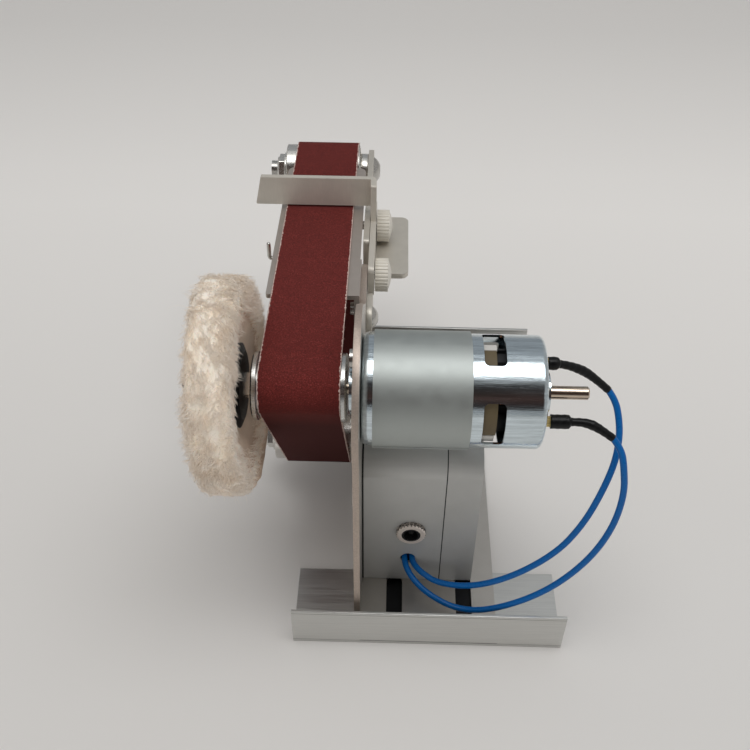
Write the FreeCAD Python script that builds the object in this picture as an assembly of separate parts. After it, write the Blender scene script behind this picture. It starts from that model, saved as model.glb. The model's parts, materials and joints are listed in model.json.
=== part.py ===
"""Mini belt sander: a motor on a bent sheet frame drives an endless belt round three wheels.

Frame: +X to the right along the motor shaft, +Y away from the user, +Z up.
The origin lies on the ground, under the motor axis, at the motor's mounting face.
All sizes are in millimetres.
"""
import FreeCAD
import Part
import math
import os

os.makedirs("parts", exist_ok=True)

# Driving sizes of the layout
motor_axis_z = 120.0
upper_reach = 166.7
run_tilt = 1.9
lower_axis_y = 61.1
lower_axis_z = 30.2
slide_gap = 0.2
running_gap = 0.3
bearing_fit = 0.05

# Belt and wheels
belt_width = 30.0
belt_thickness = 0.9
belt_left = -37.5
wheel_r = 9.3
flange_r = 12.8
flange_thickness = 1.8
roller_left = -43.0
roller_right = -6.8
roller_r = 12.2
roller_wall = 1.2
roller_round = 0.5
bearing_inset = 0.4
bearing_width = 7.0
axle_r = 4.0

# Sheet frame
sheet = 2.5
plate_front_y = -28.0
plate_round_r = 31.0
neck_front_s = 46.0
neck_end_s = 81.3
neck_corner_s = 73.6
neck_top_h = 4.5
neck_bottom_h = -11.0
frame_flange_width = 58.7
frame_back_y = 148.0
rail_height = 12.0
rail_end_r = 3.0
lobe_r = 14.0
lobe_foot = 12.0
lobe_foot_r = 12.0
lobe_shoulder = 10.0
throat_y = 38.0
throat_z = 100.0
throat_r = 12.0
crown_y = 24.0
crown_z = 140.0
crown_r = 6.0
neck_r = 8.0
neck_nose_r = 3.0
slot_left_x = 14.5
slot_right_x = 45.0
slot_width = 7.0
slot_length = 26.0
slot_centre_y = -13.0

# Feet, two aluminium angles
foot_left = -28.5
foot_right = 86.0
foot_depth = 36.5
foot_height = 22.0
foot_web = 2.0
foot_wall = 1.5
front_face_y = -33.0
back_face_y = 152.5
foot_screw_r = 2.0
foot_screw_head_r = 3.8
foot_screw_left_x = 30.0
foot_screw_right_x = 54.0
foot_screw_inset = 20.0
foot_screw_skin = 0.5

# Motor
can_r = 21.0
can_length = 65.8
can_wall = 1.0
can_round = 2.0
can_front_round = 2.8
front_boss_r = 8.75
front_boss_length = 4.5
motor_shaft_r = 2.5
motor_shaft_end = 83.6
shaft_chamfer = 0.5
relief_width = 0.6
relief_depth = 0.2
ring_left = 4.4
ring_length = 34.9
ring_thickness = 0.9
ring_seam = 0.6
ring_seam_angle = 60.0
vent_inset = 14.55
vent_length = 7.9
vent_width = 18.8
vent_round = 1.8
vent_count = 4
vent_turn = 5.0
can_front_wall = 1.5
can_rim = 1.0
can_rim_width = 1.2
boss_skin = 0.8
shaft_clearance = 0.6
cap_thickness = 2.5
rear_boss_r = 7.5
rear_boss_length = 2.8
magnet_left = 6.0
magnet_length = 34.0
magnet_thickness = 3.4
magnet_angle = 140.0
core_r = 15.6
core_left = 9.0
core_gap = 2.5
core_slots = 5
core_slot_width = 2.4
core_slot_depth = 6.0
core_slot_turn = 20.0
winding_r = 13.0
winding_overhang = 5.0
winding_round = 1.5
commutator_r = 5.0
commutator_length = 12.0
commutator_gap = 3.9
commutator_groove = 0.5
motor_bearing_r = 6.5
motor_bearing_width = 4.0
motor_screw_r = 1.95
motor_screw_pitch = 29.0
motor_screw_head_r = 3.6
motor_screw_head_height = 1.8
terminal_offset = 10.7
terminal_width = 4.0
terminal_thickness = 0.8
terminal_reach = 6.6
terminal_depth = 4.0
brush_plate_thickness = 2.0
brush_width = 5.2
brush_height = 11.0
holder_wall = 0.8
holder_height = 9.0
holder_gap = 3.6

# Control box
box_width = 48.6
box_seam_x = 34.3
box_front_y = -3.0
box_depth = 50.0
box_height = 78.5
box_wall = 1.2
box_round = 10.0
jack_x = 20.8
jack_z = 39.4
jack_hole_r = 4.0
jack_nut_r = 6.2
jack_nut_thickness = 2.4
jack_bore_r = 3.2
jack_pin_r = 1.05
jack_pin_inset = 1.5
jack_bore_depth = 11.0
jack_block_r = 5.6
jack_block_length = 12.0
jack_teeth = 24
jack_tooth_r = 0.35
wire_hole_x = 20.0
wire_hole_z = 20.3
wire_hole_r = 3.3
box_screw_y = 6.0
box_screw_z = 47.0
box_screw_pitch = 30.0
box_screw_r = 2.0
box_screw_head_r = 4.0
box_screw_head_height = 2.4
box_nut_width = 7.0
box_nut_thickness = 3.0
board_width = 30.0
board_length = 36.0
board_thickness = 1.6
board_stand = 4.0
board_gap = 4.0
board_offset = 6.0
pillar_r = 2.2
pillar_inset = 3.0
sink_width = 14.0
sink_depth = 6.0
sink_height = 18.0
sink_fin = 2.0
sink_place_y = 22.0
capacitor_r = 5.0
capacitor_height = 16.0
capacitor_place = 18.0
terminal_block_width = 14.0
terminal_block_depth = 9.0
terminal_block_rise = 3.7
knob_x = 17.0
knob_z = 56.0
speed_knob_r = 9.0
speed_knob_length = 13.0
speed_knob_flutes = 16
speed_knob_flute_r = 0.9
speed_knob_round = 1.2
pointer_width = 1.2
pointer_depth = 0.8
pot_body_r = 8.0
pot_body_depth = 9.0
pot_bush_length = 3.0
pot_bore_depth = 6.0
pot_bush_r = 3.5
pot_shaft_r = 3.0
switch_z = 28.0
switch_width = 12.6
switch_height = 18.6
switch_bezel = 1.6
switch_wall = 1.2
switch_depth = 13.0
switch_floor = 4.0
rocker_pivot_depth = 2.0
rocker_pin_r = 1.0
rocker_face = 3.0
rocker_lift = 2.0

# Sliding arm, tool rest and clamps
arm_near_s = 86.0
arm_top_h = 8.0
arm_bottom_h = -11.5
arm_nose_r = 9.3
arm_nose_round = 7.5
lug_width = 17.5
lug_far_s = 133.0
lug_corner_r = 3.5
strap_near_s = 66.0
strap_far_s = 123.0
strap_top_h = 7.2
strap_bottom_h = -8.0
rest_s = 109.0
rest_near_s = 103.0
rest_left = -51.2
rest_slant = 2.8
rest_low_h = 11.5
rest_height = 13.4
rest_bend = 3.0
clamp_screw_r = 2.0
clamp_slot_r = 2.15
rest_clamp_s = 113.0
rest_clamp_h = -1.2
arm_clamp_s = 76.6
arm_clamp_h = -3.0
rest_slot_near = 104.0
rest_slot_far = 118.0
arm_slot_near = 71.4
arm_slot_far = 78.8
knob_r = 7.2
knob_thickness = 5.6
knob_dome = 1.4
knob_ribs = 28
knob_rib_r = 0.45
knob_grip = 4.0
clamp_screw_tail = 1.6
small_socket = 2.5
axle_socket = 5.0
socket_depth = 1.4
stop_s = 50.5
stop_h = -6.0
stop_r = 6.0
stop_reach = 6.5
dome_head_r = 4.6
dome_head_height = 2.6
axle_head_r = 6.7
axle_head_height = 3.6
nut_width = 13.0
nut_thickness = 2.8
washer_r = 8.2
washer_thickness = 1.0
nut_collar = 0.85
nut_collar_r = 6.0
axle_end_x = -51.0

# Platen and its hook
platen_gap = 0.3
platen_thickness = 2.0
platen_left = -40.0
platen_right = -3.2
platen_tab_left = -4.7
platen_near_s = 44.3
platen_far_s = 147.0
platen_tab_far_s = 70.0
platen_tab_depth = 17.0
platen_round = 4.0
platen_screw_r = 1.5
platen_screw_head_r = 2.7
platen_screw_head_height = 1.6
platen_screw_socket = 2.0
platen_screw_h = 0.25
platen_screw_near = 48.0
platen_screw_far = 65.5
hook_wire_r = 0.85
hook_root = 5.0
hook_s = 71.0
hook_out = 1.3
hook_bend = 1.2
hook_rise = 7.0

# Buffing wheel
buff_r = 41.0
buff_left = -59.0
buff_right = -40.8
buff_shoulder_r = 34.0
buff_waist_r = 24.0
buff_round = 4.0
buff_bulge = 0.7
buff_dish = 1.8
buff_plate_r = 15.8
buff_plate_thickness = 2.4
buff_plate_bevel = 3.0
buff_hub_left = -56.0
buff_hub_right = -45.8
arbor_width = 8.55
spindle_thread_r = 3.0
spindle_end_x = -66.0
spindle_thread = 10.0
shaft_inset = 12.0
belt_play = 0.4
wheel_chamfer = 0.5
grub_r = 1.5
grub_inset = 4.0
grub_socket_r = 0.7
buff_nut_width = 10.0
buff_nut_thickness = 5.0

# Motor leads, as routes of points (x, y, z), and their shrunk sleeves, whose points lie
# off the middle of the motor's rear end
lead_r = 1.3
lead_upper_points = [(93.1, 8.3, 113.9), (96.1, 5.9, 110.9), (97.7, 0.6, 104.7), (97.6, -4.5, 100.4),
                     (96.4, -10.0, 93.7), (93.0, -14.6, 82.6), (87.7, -18.4, 67.1), (79.0, -21.0, 51.1),
                     (63.1, -21.5, 34.7), (47.1, -19.5, 23.6), (33.2, -15.2, 19.4), (26.2, -10.6, 20.1),
                     (22.2, -5.6, 20.3), (21.5, -0.4, 20.3), (21.5, 4.6, 20.3)]
lead_lower_points = [(93.0, -11.0, 107.8), (96.1, -13.6, 105.0), (97.6, -17.0, 99.2), (99.5, -20.5, 86.6),
                     (97.1, -23.5, 68.2), (89.1, -25.5, 48.8), (75.0, -26.5, 30.2), (55.6, -26.0, 16.5),
                     (41.3, -22.5, 11.0), (29.0, -18.0, 15.1), (22.2, -12.6, 18.4), (18.8, -6.6, 20.2),
                     (18.5, -1.0, 20.3), (18.5, 4.6, 20.3)]
sleeve_r = 2.6
sleeve_tail_r = 1.75
sleeve_neck = 1.5
sleeve_upper_gap = 2.7
sleeve_upper_grip = 3.1
sleeve_upper_points = [(12.2, 8.8, 5.2), (19.7, 10.1, 0.4), (27.3, 8.3, -6.1)]
sleeve_lower_gap = 3.9
sleeve_lower_grip = 6.6
sleeve_lower_points = [(16.6, -7.8, -7.4), (21.6, -9.0, -8.8), (27.2, -11.0, -12.2)]

# Values that follow from the driving sizes
upper_axle_h = wheel_r - roller_r
belt_right = belt_left + belt_width
frame_low_z = foot_web
frame_top_z = foot_web + sheet
box_low_z = frame_top_z
box_back_y = box_front_y + box_depth
rocker_pivot_y = box_back_y - rocker_pivot_depth
knob_face_x = slide_gap + sheet + running_gap
cap_left = can_length - cap_thickness - can_rim
vent_left = can_length - vent_inset - vent_length
brush_plate_end = cap_left - terminal_depth
commutator_left = cap_left - commutator_gap - commutator_length
core_length = commutator_left - core_gap - winding_overhang - core_left
wheel_left = belt_left - belt_play - flange_thickness
wheel_right = belt_right + belt_play + flange_thickness
shaft_left = belt_left + shaft_inset
platen_top = motor_axis_z + wheel_r + running_gap - platen_gap
knob_back_y = box_back_y + pot_bush_length + running_gap

X = FreeCAD.Vector(1, 0, 0)
Y = FreeCAD.Vector(0, 1, 0)
Z = FreeCAD.Vector(0, 0, 1)


def at(x, y, z):
    return FreeCAD.Vector(x, y, z)


def export(name, shape):
    """Write one sub-part."""
    shape.exportStep(os.path.join("parts", name + ".step"))


def on_run(shape):
    """Turn a piece laid out along +Y at the motor axis into the belt's upper run."""
    shape.rotate(at(0, 0, motor_axis_z), X, -run_tilt)
    return shape


def run_point(s, h):
    """Y and Z of a point that lies s along the upper run and h above the shaft centres."""
    tilt = math.radians(run_tilt)
    return (s * math.cos(tilt) + h * math.sin(tilt), motor_axis_z - s * math.sin(tilt) + h * math.cos(tilt))


def lay(plane, u, v, start):
    """A point of an outline drawn in the plane xy, xz or yz."""
    return {"xy": at(u, v, start), "xz": at(u, start, v), "yz": at(start, u, v)}[plane]


def outline(corners, plane, start):
    """Closed wire through corners (u, v, radius), each rounded by its own radius."""
    count = len(corners)
    pieces = []
    ends = []
    for i, (u, v, radius) in enumerate(corners):
        here = at(u, v, 0)
        back = at(*corners[i - 1][:2], 0) - here
        ahead = at(*corners[(i + 1) % count][:2], 0) - here
        back.normalize()
        ahead.normalize()
        half = back.getAngle(ahead) / 2
        cut = radius / math.tan(half)
        inward = back + ahead
        if radius > 0:
            inward.normalize()
            middle = here + inward * (radius / math.sin(half) - radius)
        else:
            middle = here
        ends.append((here + back * cut, middle, here + ahead * cut, radius))
    for i in range(count):
        first, middle, last, radius = [lay(plane, p.x, p.y, start) if isinstance(p, FreeCAD.Vector) else p
                                       for p in ends[i]]
        if radius > 0:
            pieces.append(Part.Arc(first, middle, last).toShape())
        following = ends[(i + 1) % count][0]
        target = lay(plane, following.x, following.y, start)
        if last.distanceToPoint(target) > 1e-6:
            pieces.append(Part.LineSegment(last, target).toShape())
    return Part.Wire(pieces)


def prism(corners, plane, start, thickness):
    """Flat piece with a rounded outline, standing on the plane at start."""
    normal = {"xy": Z, "xz": Y, "yz": X}[plane]
    return Part.Face(outline(corners, plane, start)).extrude(normal * thickness)


def rectangle(u0, u1, v0, v1, radius=0.0):
    return [(u0, v0, radius), (u1, v0, radius), (u1, v1, radius), (u0, v1, radius)]


def rod(radius, x, length, y, z):
    """Round bar along X."""
    return Part.makeCylinder(radius, length, at(x, y, z), X)


def tube(outer, inner, x, length, y, z):
    """Round sleeve along X."""
    return rod(outer, x, length, y, z).cut(rod(inner, x, length, y, z))


def post(radius, x, y, z, length):
    """Round bar along +Z."""
    return Part.makeCylinder(radius, length, at(x, y, z), Z)


def bar_y(radius, x, y, z, length):
    """Round bar along +Y."""
    return Part.makeCylinder(radius, length, at(x, y, z), Y)


def slot_yz(near, far, radius, h, x, thickness):
    """Round-ended slot cutter along the run, at height h above the shaft centres."""
    z = motor_axis_z + h
    cutter = rod(radius, x, thickness, near, z).fuse(rod(radius, x, thickness, far, z))
    middle = Part.makeBox(thickness, far - near, 2 * radius, at(x, near, z - radius))
    return cutter.fuse(middle).removeSplitter()


def hexagon(width, x, thickness, y, z):
    """Hexagonal prism along X, width across flats."""
    reach = width / math.sqrt(3)
    points = [at(x, y + reach * math.cos(math.radians(60 * i)), z + reach * math.sin(math.radians(60 * i)))
              for i in range(6)]
    return Part.Face(Part.makePolygon(points + points[:1])).extrude(X * thickness)


def turned(profile, y, z):
    """Solid of revolution about an X axis; profile is a list of (x, radius) from axis to axis."""
    points = [at(x, y, z + radius) for x, radius in profile]
    face = Part.Face(Part.makePolygon(points + points[:1]))
    return face.revolve(at(0, y, z), X, 360)


def dome(radius, height, x, y, z):
    """Round head that bulges towards +X from a flat face at x."""
    sphere_r = (radius * radius + height * height) / (2 * height)
    ball = Part.makeSphere(sphere_r, at(x + height - sphere_r, y, z))
    return ball.common(rod(radius, x, height, y, z))


# Feet and frame
def foot(front):
    """Aluminium angle; its upright wall faces outwards."""
    face = front_face_y if front else back_face_y
    inward = 1 if front else -1
    inner = face + inward * foot_wall
    tip = face + inward * foot_depth
    corners = [(face, 0, 0.4), (tip, 0, 0), (tip, foot_web, 0.4), (inner, foot_web, 0.5),
               (inner, foot_height, 0.4), (face, foot_height, 0.4)]
    if not front:
        corners.reverse()
    shape = prism(corners, "yz", foot_left, foot_right - foot_left)
    for x, y in foot_screw_places(front):
        sink = Part.makeCone(foot_screw_head_r, foot_screw_r, foot_web, at(x, y, 0), Z)
        shape = shape.cut(sink)
    return shape


def foot_screw_places(front):
    y = front_face_y + foot_screw_inset if front else back_face_y - foot_screw_inset
    return [(foot_screw_left_x, y), (foot_screw_right_x, y)]


def flange_slots(front):
    """Cutter for the two round-ended slots in the frame's flange above a foot."""
    middle = slot_centre_y if front else front_face_y + back_face_y - slot_centre_y
    straight = slot_length - slot_width
    cutters = []
    for x in (slot_left_x, slot_right_x):
        low = middle - straight / 2
        ends = [post(slot_width / 2, x, y, frame_low_z, sheet) for y in (low, low + straight)]
        core = Part.makeBox(slot_width, straight, sheet, at(x - slot_width / 2, low, frame_low_z))
        cutters.append(ends[0].fuse([ends[1], core]).removeSplitter())
    return Part.makeCompound(cutters)


def foot_screws():
    """Countersunk screws that hold the frame's flange to the feet from below."""
    screws = []
    for front in (True, False):
        for x, y in foot_screw_places(front):
            head = Part.makeCone(foot_screw_head_r, foot_screw_r, foot_web, at(x, y, 0), Z)
            shank = post(foot_screw_r, x, y, foot_web, sheet - foot_screw_skin)
            screw = head.fuse(shank).removeSplitter()
            screws.append(screw.cut(hex_socket(x, y)))
    return Part.makeCompound(screws)


def hex_socket(x, y):
    """Cutter for the hexagonal socket in a foot screw's flat head."""
    reach = small_socket / math.sqrt(3)
    points = [at(x + reach * math.cos(math.radians(60 * i)), y + reach * math.sin(math.radians(60 * i)), 0)
              for i in range(6)]
    return Part.Face(Part.makePolygon(points + points[:1])).extrude(Z * socket_depth)


def main_frame():
    """Bent sheet: an upright plate for the motor, neck and wheels, and a flange on the two feet."""
    rail_top_z = frame_low_z + rail_height
    corners = [
        (plate_front_y, frame_low_z, 0), (frame_back_y, frame_low_z, 0),
        (frame_back_y, rail_top_z, rail_end_r),
        (lower_axis_y + lobe_r + lobe_foot, rail_top_z, lobe_foot_r),
        (lower_axis_y + lobe_r, lower_axis_z + lobe_r, lobe_r),
        (lower_axis_y - lobe_r, lower_axis_z + lobe_r + lobe_shoulder, lobe_r),
        (throat_y, throat_z, throat_r),
        (*run_point(neck_end_s, neck_bottom_h), sheet / 2),
        (*run_point(neck_end_s, neck_top_h - neck_end_s + neck_corner_s), neck_nose_r),
        (*run_point(neck_corner_s, neck_top_h), sheet / 2), (*run_point(neck_front_s, neck_top_h), neck_r),
        (crown_y, crown_z, crown_r), (plate_front_y, motor_axis_z, 0)]
    wall = prism(corners, "yz", -sheet, sheet)
    disc = rod(plate_round_r, -sheet, sheet, 0, motor_axis_z)
    keep = Part.makeBox(sheet, 300, 300, at(-sheet, plate_front_y - 3, frame_low_z))
    wall = wall.fuse(disc.common(keep)).removeSplitter()
    flange_area = rectangle(-sheet, frame_flange_width, plate_front_y, frame_back_y)
    flange = prism(flange_area, "xy", frame_low_z, sheet)
    shape = wall.fuse(flange).removeSplitter()
    shape = shape.makeFillet(sheet, [edge for edge in shape.Edges if is_bend(edge)])
    shape = shape.cut(rod(front_boss_r + bearing_fit, -sheet, sheet, 0, motor_axis_z))
    for z in (motor_axis_z - motor_screw_pitch / 2, motor_axis_z + motor_screw_pitch / 2):
        shape = shape.cut(rod(motor_screw_r + bearing_fit, -sheet, sheet, 0, z))
    shape = shape.cut(rod(axle_r, -sheet, sheet, lower_axis_y, lower_axis_z))
    for y, z in box_screw_places():
        shape = shape.cut(rod(box_screw_r, -sheet, sheet, y, z))
    shape = shape.cut(run_holes())
    for front in (True, False):
        shape = shape.cut(flange_slots(front))
        for x, y in foot_screw_places(front):
            shape = shape.cut(post(foot_screw_r, x, y, frame_low_z, sheet - foot_screw_skin))
    return shape


def is_bend(edge):
    """The outer edge of the frame's bend, along Y at the foot of the plate."""
    box = edge.BoundBox
    along_y = box.YLength > box.XLength and box.YLength > box.ZLength
    return along_y and box.XMax < -sheet + 0.01 and box.ZMax < frame_low_z + 0.01


def run_holes():
    """Cutter for the holes in the neck: arm clamp, stop screw and platen screws."""
    length = 2 * sheet
    cuts = [rod(clamp_screw_r + bearing_fit, -sheet, length, arm_clamp_s, motor_axis_z + arm_clamp_h),
            rod(clamp_screw_r, -sheet, length, stop_s, motor_axis_z + stop_h)]
    for s in (platen_screw_near, platen_screw_far):
        cuts.append(rod(platen_screw_r, -sheet, sheet, s, motor_axis_z + platen_screw_h))
    return on_run(Part.makeCompound(cuts))


# Motor
def motor_can():
    """Drawn steel can with a front boss, vents near the back and a rolled rear rim."""
    y, z = 0, motor_axis_z
    shape = rod(can_r, 0, can_length, y, z)
    rims = [edge for edge in shape.Edges if edge.BoundBox.XLength < 0.01]
    shape = shape.makeFillet(can_round, [edge for edge in rims if edge.BoundBox.XMin > 1])
    front_rims = [edge for edge in shape.Edges if edge.BoundBox.XMax < 0.01]
    shape = shape.makeFillet(can_front_round, front_rims)
    shape = shape.fuse(rod(front_boss_r, -front_boss_length, front_boss_length, y, z))
    hollow = rod(can_r - can_wall, can_front_wall, can_length, y, z)
    rim = tube(can_r, can_r - can_wall - can_rim_width, can_length - can_rim, can_length, y, z)
    shape = shape.cut(hollow.cut(rim))
    seat = -front_boss_length + boss_skin
    shape = shape.cut(rod(motor_bearing_r, seat, can_front_wall - seat, y, z))
    shape = shape.cut(rod(motor_shaft_r + shaft_clearance, -front_boss_length, boss_skin, y, z))
    for offset in (-motor_screw_pitch / 2, motor_screw_pitch / 2):
        shape = shape.cut(rod(motor_screw_r, 0, can_front_wall, y, z + offset))
    for i in range(vent_count):
        shape = shape.cut(vent(i * 360.0 / vent_count - vent_turn))
    return shape


def vent(angle):
    """Cutter for one window with rounded corners, its middle at an angle from the top."""
    low = motor_axis_z + can_r / 2
    half = vent_width / 2
    area = rectangle(vent_left, vent_left + vent_length, -half, half, vent_round)
    window = prism(area, "xy", low, can_r)
    window.rotate(at(0, 0, motor_axis_z), X, angle)
    return window


def flux_ring():
    """Rolled steel sleeve round the can, with its seam underneath."""
    shape = tube(can_r + ring_thickness, can_r, ring_left, ring_length, 0, motor_axis_z)
    corner = at(ring_left, -ring_seam / 2, motor_axis_z - 1.5 * can_r)
    seam = Part.makeBox(ring_length, ring_seam, can_r, corner)
    seam.rotate(at(0, 0, motor_axis_z), X, -ring_seam_angle)
    return shape.cut(seam)


def magnets():
    """Two arc magnets against the can's wall."""
    z = motor_axis_z
    outer = can_r - can_wall
    sleeve = tube(outer, outer - magnet_thickness, magnet_left, magnet_length, 0, z)
    gap = 2 * outer * math.sin(math.radians(90 - magnet_angle / 2))
    cutter = Part.makeBox(magnet_length, gap, 3 * outer, at(magnet_left, -gap / 2, z - 1.5 * outer))
    return sleeve.cut(cutter)


def end_cap():
    """Rear cap of the motor, with a boss for the bearing and slots for the terminals."""
    z = motor_axis_z
    boss_length = can_length + rear_boss_length - cap_left
    shape = rod(can_r - can_wall, cap_left, cap_thickness, 0, z)
    shape = shape.fuse(rod(rear_boss_r, cap_left, boss_length, 0, z)).removeSplitter()
    shape = shape.cut(rod(motor_bearing_r, cap_left, motor_bearing_width + shaft_clearance, 0, z))
    shape = shape.cut(rod(motor_shaft_r + shaft_clearance, cap_left, boss_length, 0, z))
    return shape.cut(terminal_tabs())


def terminal_tabs():
    """Two brass tabs on a slanted diameter, from the brush plate out of the cap."""
    tabs = []
    for angle in (-45, 135):
        tab = Part.makeBox(can_length + terminal_reach - brush_plate_end, terminal_thickness, terminal_width,
                           at(brush_plate_end, -terminal_thickness / 2,
                              motor_axis_z + terminal_offset - terminal_width / 2))
        tab.rotate(at(0, 0, motor_axis_z), X, angle)
        tabs.append(tab)
    return Part.makeCompound(tabs)


def brush_plate():
    """Ring inside the can, with the boxes that guide the carbon brushes above and below the shaft."""
    left = commutator_left
    length = brush_plate_end - brush_plate_thickness - left
    pieces = [tube(can_r - can_wall, commutator_r + holder_gap, left + length, brush_plate_thickness, 0,
                   motor_axis_z)]
    inner = brush_width + 2 * slide_gap
    outer = inner + 2 * holder_wall
    for side in (1, -1):
        rise = commutator_r + holder_gap if side > 0 else -commutator_r - holder_gap - holder_height
        shell = Part.makeBox(length, outer, holder_height, at(left, -outer / 2, motor_axis_z + rise))
        hollow = Part.makeBox(length, inner, holder_height,
                              at(left + holder_wall, -inner / 2, motor_axis_z + rise))
        pieces.append(shell.cut(hollow))
    return Part.makeCompound(pieces)


def brushes():
    """Carbon brushes that bear on the commutator."""
    left = commutator_left + holder_wall + slide_gap
    length = brush_plate_end - brush_plate_thickness - slide_gap - left
    blocks = []
    for side in (1, -1):
        rise = commutator_r + slide_gap if side > 0 else -commutator_r - slide_gap - brush_height
        corner = at(left, -brush_width / 2, motor_axis_z + rise)
        blocks.append(Part.makeBox(length, brush_width, brush_height, corner))
    return Part.makeCompound(blocks)


def motor_bearings():
    """Bearing in the can's front boss and bearing in the end cap."""
    pair = []
    bore_r = motor_shaft_r + bearing_fit
    for left in (-front_boss_length + boss_skin, cap_left + shaft_clearance):
        pair.append(tube(motor_bearing_r, bore_r, left, motor_bearing_width, 0, motor_axis_z))
    return Part.makeCompound(pair)


def motor_screws():
    """Two pan head screws from the plate's left face into the motor."""
    screws = []
    for offset in (-motor_screw_pitch / 2, motor_screw_pitch / 2):
        z = motor_axis_z + offset
        screw = rod(motor_screw_r, -sheet, sheet + can_front_wall, 0, z)
        left = -sheet - motor_screw_head_height
        head = rod(motor_screw_head_r, left, motor_screw_head_height, 0, z)
        head = head.cut(hexagon(small_socket, left, socket_depth, 0, z))
        screws.append(screw.fuse(head).removeSplitter())
    return Part.makeCompound(screws)


# Spindle: motor shaft, armature, drive wheel and buffing wheel
def motor_shaft():
    """Shaft with a chamfered free end and a narrow relief groove beside the rear boss."""
    shape = rod(motor_shaft_r, shaft_left, motor_shaft_end - shaft_left, 0, motor_axis_z)
    tip = [edge for edge in shape.Edges if edge.BoundBox.XMin > motor_shaft_end - 0.01]
    shape = shape.makeChamfer(shaft_chamfer, tip)
    left = can_length + rear_boss_length
    relief = tube(motor_shaft_r, motor_shaft_r - relief_depth, left, relief_width, 0, motor_axis_z)
    return shape.cut(relief)


def armature_core():
    """Laminated core with slots for the windings."""
    shape = rod(core_r, core_left, core_length, 0, motor_axis_z)
    for i in range(core_slots):
        cutter = Part.makeBox(core_length, core_slot_width, core_slot_depth + 1,
                              at(core_left, -core_slot_width / 2, motor_axis_z + core_r - core_slot_depth))
        cutter.rotate(at(0, 0, motor_axis_z), X, 360.0 * i / core_slots + core_slot_turn)
        shape = shape.cut(cutter)
    return shape.cut(rod(motor_shaft_r, core_left, core_length, 0, motor_axis_z))


def windings():
    """Copper end turns at both ends of the core."""
    z = motor_axis_z
    ends = []
    for left in (core_left - winding_overhang, core_left + core_length):
        ring = tube(winding_r, motor_shaft_r + winding_round, left, winding_overhang, 0, z)
        rims = [edge for edge in ring.Edges
                if edge.BoundBox.XLength < 0.01 and edge.BoundBox.ZLength > 1.9 * winding_r]
        ends.append(ring.makeFillet(winding_round, rims))
    return Part.makeCompound(ends)


def commutator():
    shape = tube(commutator_r, motor_shaft_r, commutator_left, commutator_length, 0, motor_axis_z)
    for i in range(core_slots):
        cutter = Part.makeBox(commutator_length, commutator_groove, 2 * commutator_groove,
                              at(commutator_left, -commutator_groove / 2,
                                 motor_axis_z + commutator_r - commutator_groove))
        cutter.rotate(at(0, 0, motor_axis_z), X, 360.0 * i / core_slots)
        shape = shape.cut(cutter)
    return shape


def drive_wheel():
    """Turned aluminium wheel with a flange each side of the belt."""
    left = wheel_left
    right = wheel_right
    inner_left = left + flange_thickness
    inner_right = right - flange_thickness
    chamfer = wheel_chamfer
    profile = [(left, motor_shaft_r), (left, flange_r - chamfer), (left + chamfer, flange_r),
               (inner_left, flange_r), (inner_left, wheel_r), (inner_right, wheel_r),
               (inner_right, flange_r), (right - chamfer, flange_r), (right, flange_r - chamfer),
               (right, motor_shaft_r)]
    shape = turned(profile, 0, motor_axis_z)
    plug = rod(motor_shaft_r, left, shaft_left - left, 0, motor_axis_z)
    shape = shape.fuse(plug).removeSplitter()
    shape = shape.cut(rod(spindle_thread_r, left, spindle_thread, 0, motor_axis_z))
    return shape.cut(post(grub_r, belt_right - grub_inset, 0, motor_axis_z, wheel_r + 1))


def grub_screw():
    """Set screw that grips the motor shaft."""
    low = motor_axis_z + motor_shaft_r
    x = belt_right - grub_inset
    length = wheel_r - motor_shaft_r - wheel_chamfer
    screw = post(grub_r, x, 0, low, length)
    return screw.cut(post(grub_socket_r, x, 0, low + length / 2, length))


def arbor():
    """Threaded spindle that screws into the drive wheel and carries the buffing wheel."""
    shape = rod(spindle_thread_r, spindle_end_x, wheel_left - spindle_end_x + spindle_thread, 0, motor_axis_z)
    collar_left = buff_hub_right + buff_plate_thickness
    collar = hexagon(arbor_width, collar_left, wheel_left - collar_left, 0, motor_axis_z)
    return shape.fuse(collar).removeSplitter()


def hub_plates():
    """Two moulded discs that clamp the buffing wheel."""
    z = motor_axis_z
    plates = []
    for face, outwards in ((buff_hub_right, 1), (buff_hub_left, -1)):
        rim = face + outwards * buff_plate_thickness / 2
        back = face + outwards * buff_plate_thickness
        plates.append(turned([(face, spindle_thread_r), (face, buff_plate_r), (rim, buff_plate_r),
                              (back, buff_plate_r - buff_plate_bevel), (back, spindle_thread_r)], 0, z))
    return Part.makeCompound(plates)


def buffing_wheel():
    """Wool wheel: a thick soft rim round a thin stitched middle, dished on the right."""
    lip = buff_plate_r + 1.0
    middle = (buff_left + buff_right) / 2
    profile = [(buff_hub_left, spindle_thread_r), (buff_hub_left, lip), (buff_left + buff_bulge, buff_waist_r),
               (buff_left, buff_shoulder_r), (buff_left + buff_round, buff_r - buff_round / 3),
               (middle, buff_r), (buff_right - buff_round, buff_r - buff_round / 3),
               (buff_right, buff_shoulder_r), (buff_right - buff_dish, buff_waist_r),
               (buff_hub_right, lip), (buff_hub_right, spindle_thread_r)]
    return turned(profile, 0, motor_axis_z)


def buff_nut():
    left = buff_hub_left - buff_plate_thickness - buff_nut_thickness
    shape = hexagon(buff_nut_width, left, buff_nut_thickness, 0, motor_axis_z)
    return shape.cut(rod(spindle_thread_r, left, buff_nut_thickness, 0, motor_axis_z))


# Belt, rollers and axles
def wheel_centres():
    """Drive wheel, upper roller and lower roller: y and z of the centre, and the radius."""
    return [(0.0, motor_axis_z, wheel_r), (*run_point(upper_reach, upper_axle_h), roller_r),
            (lower_axis_y, lower_axis_z, roller_r)]


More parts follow.
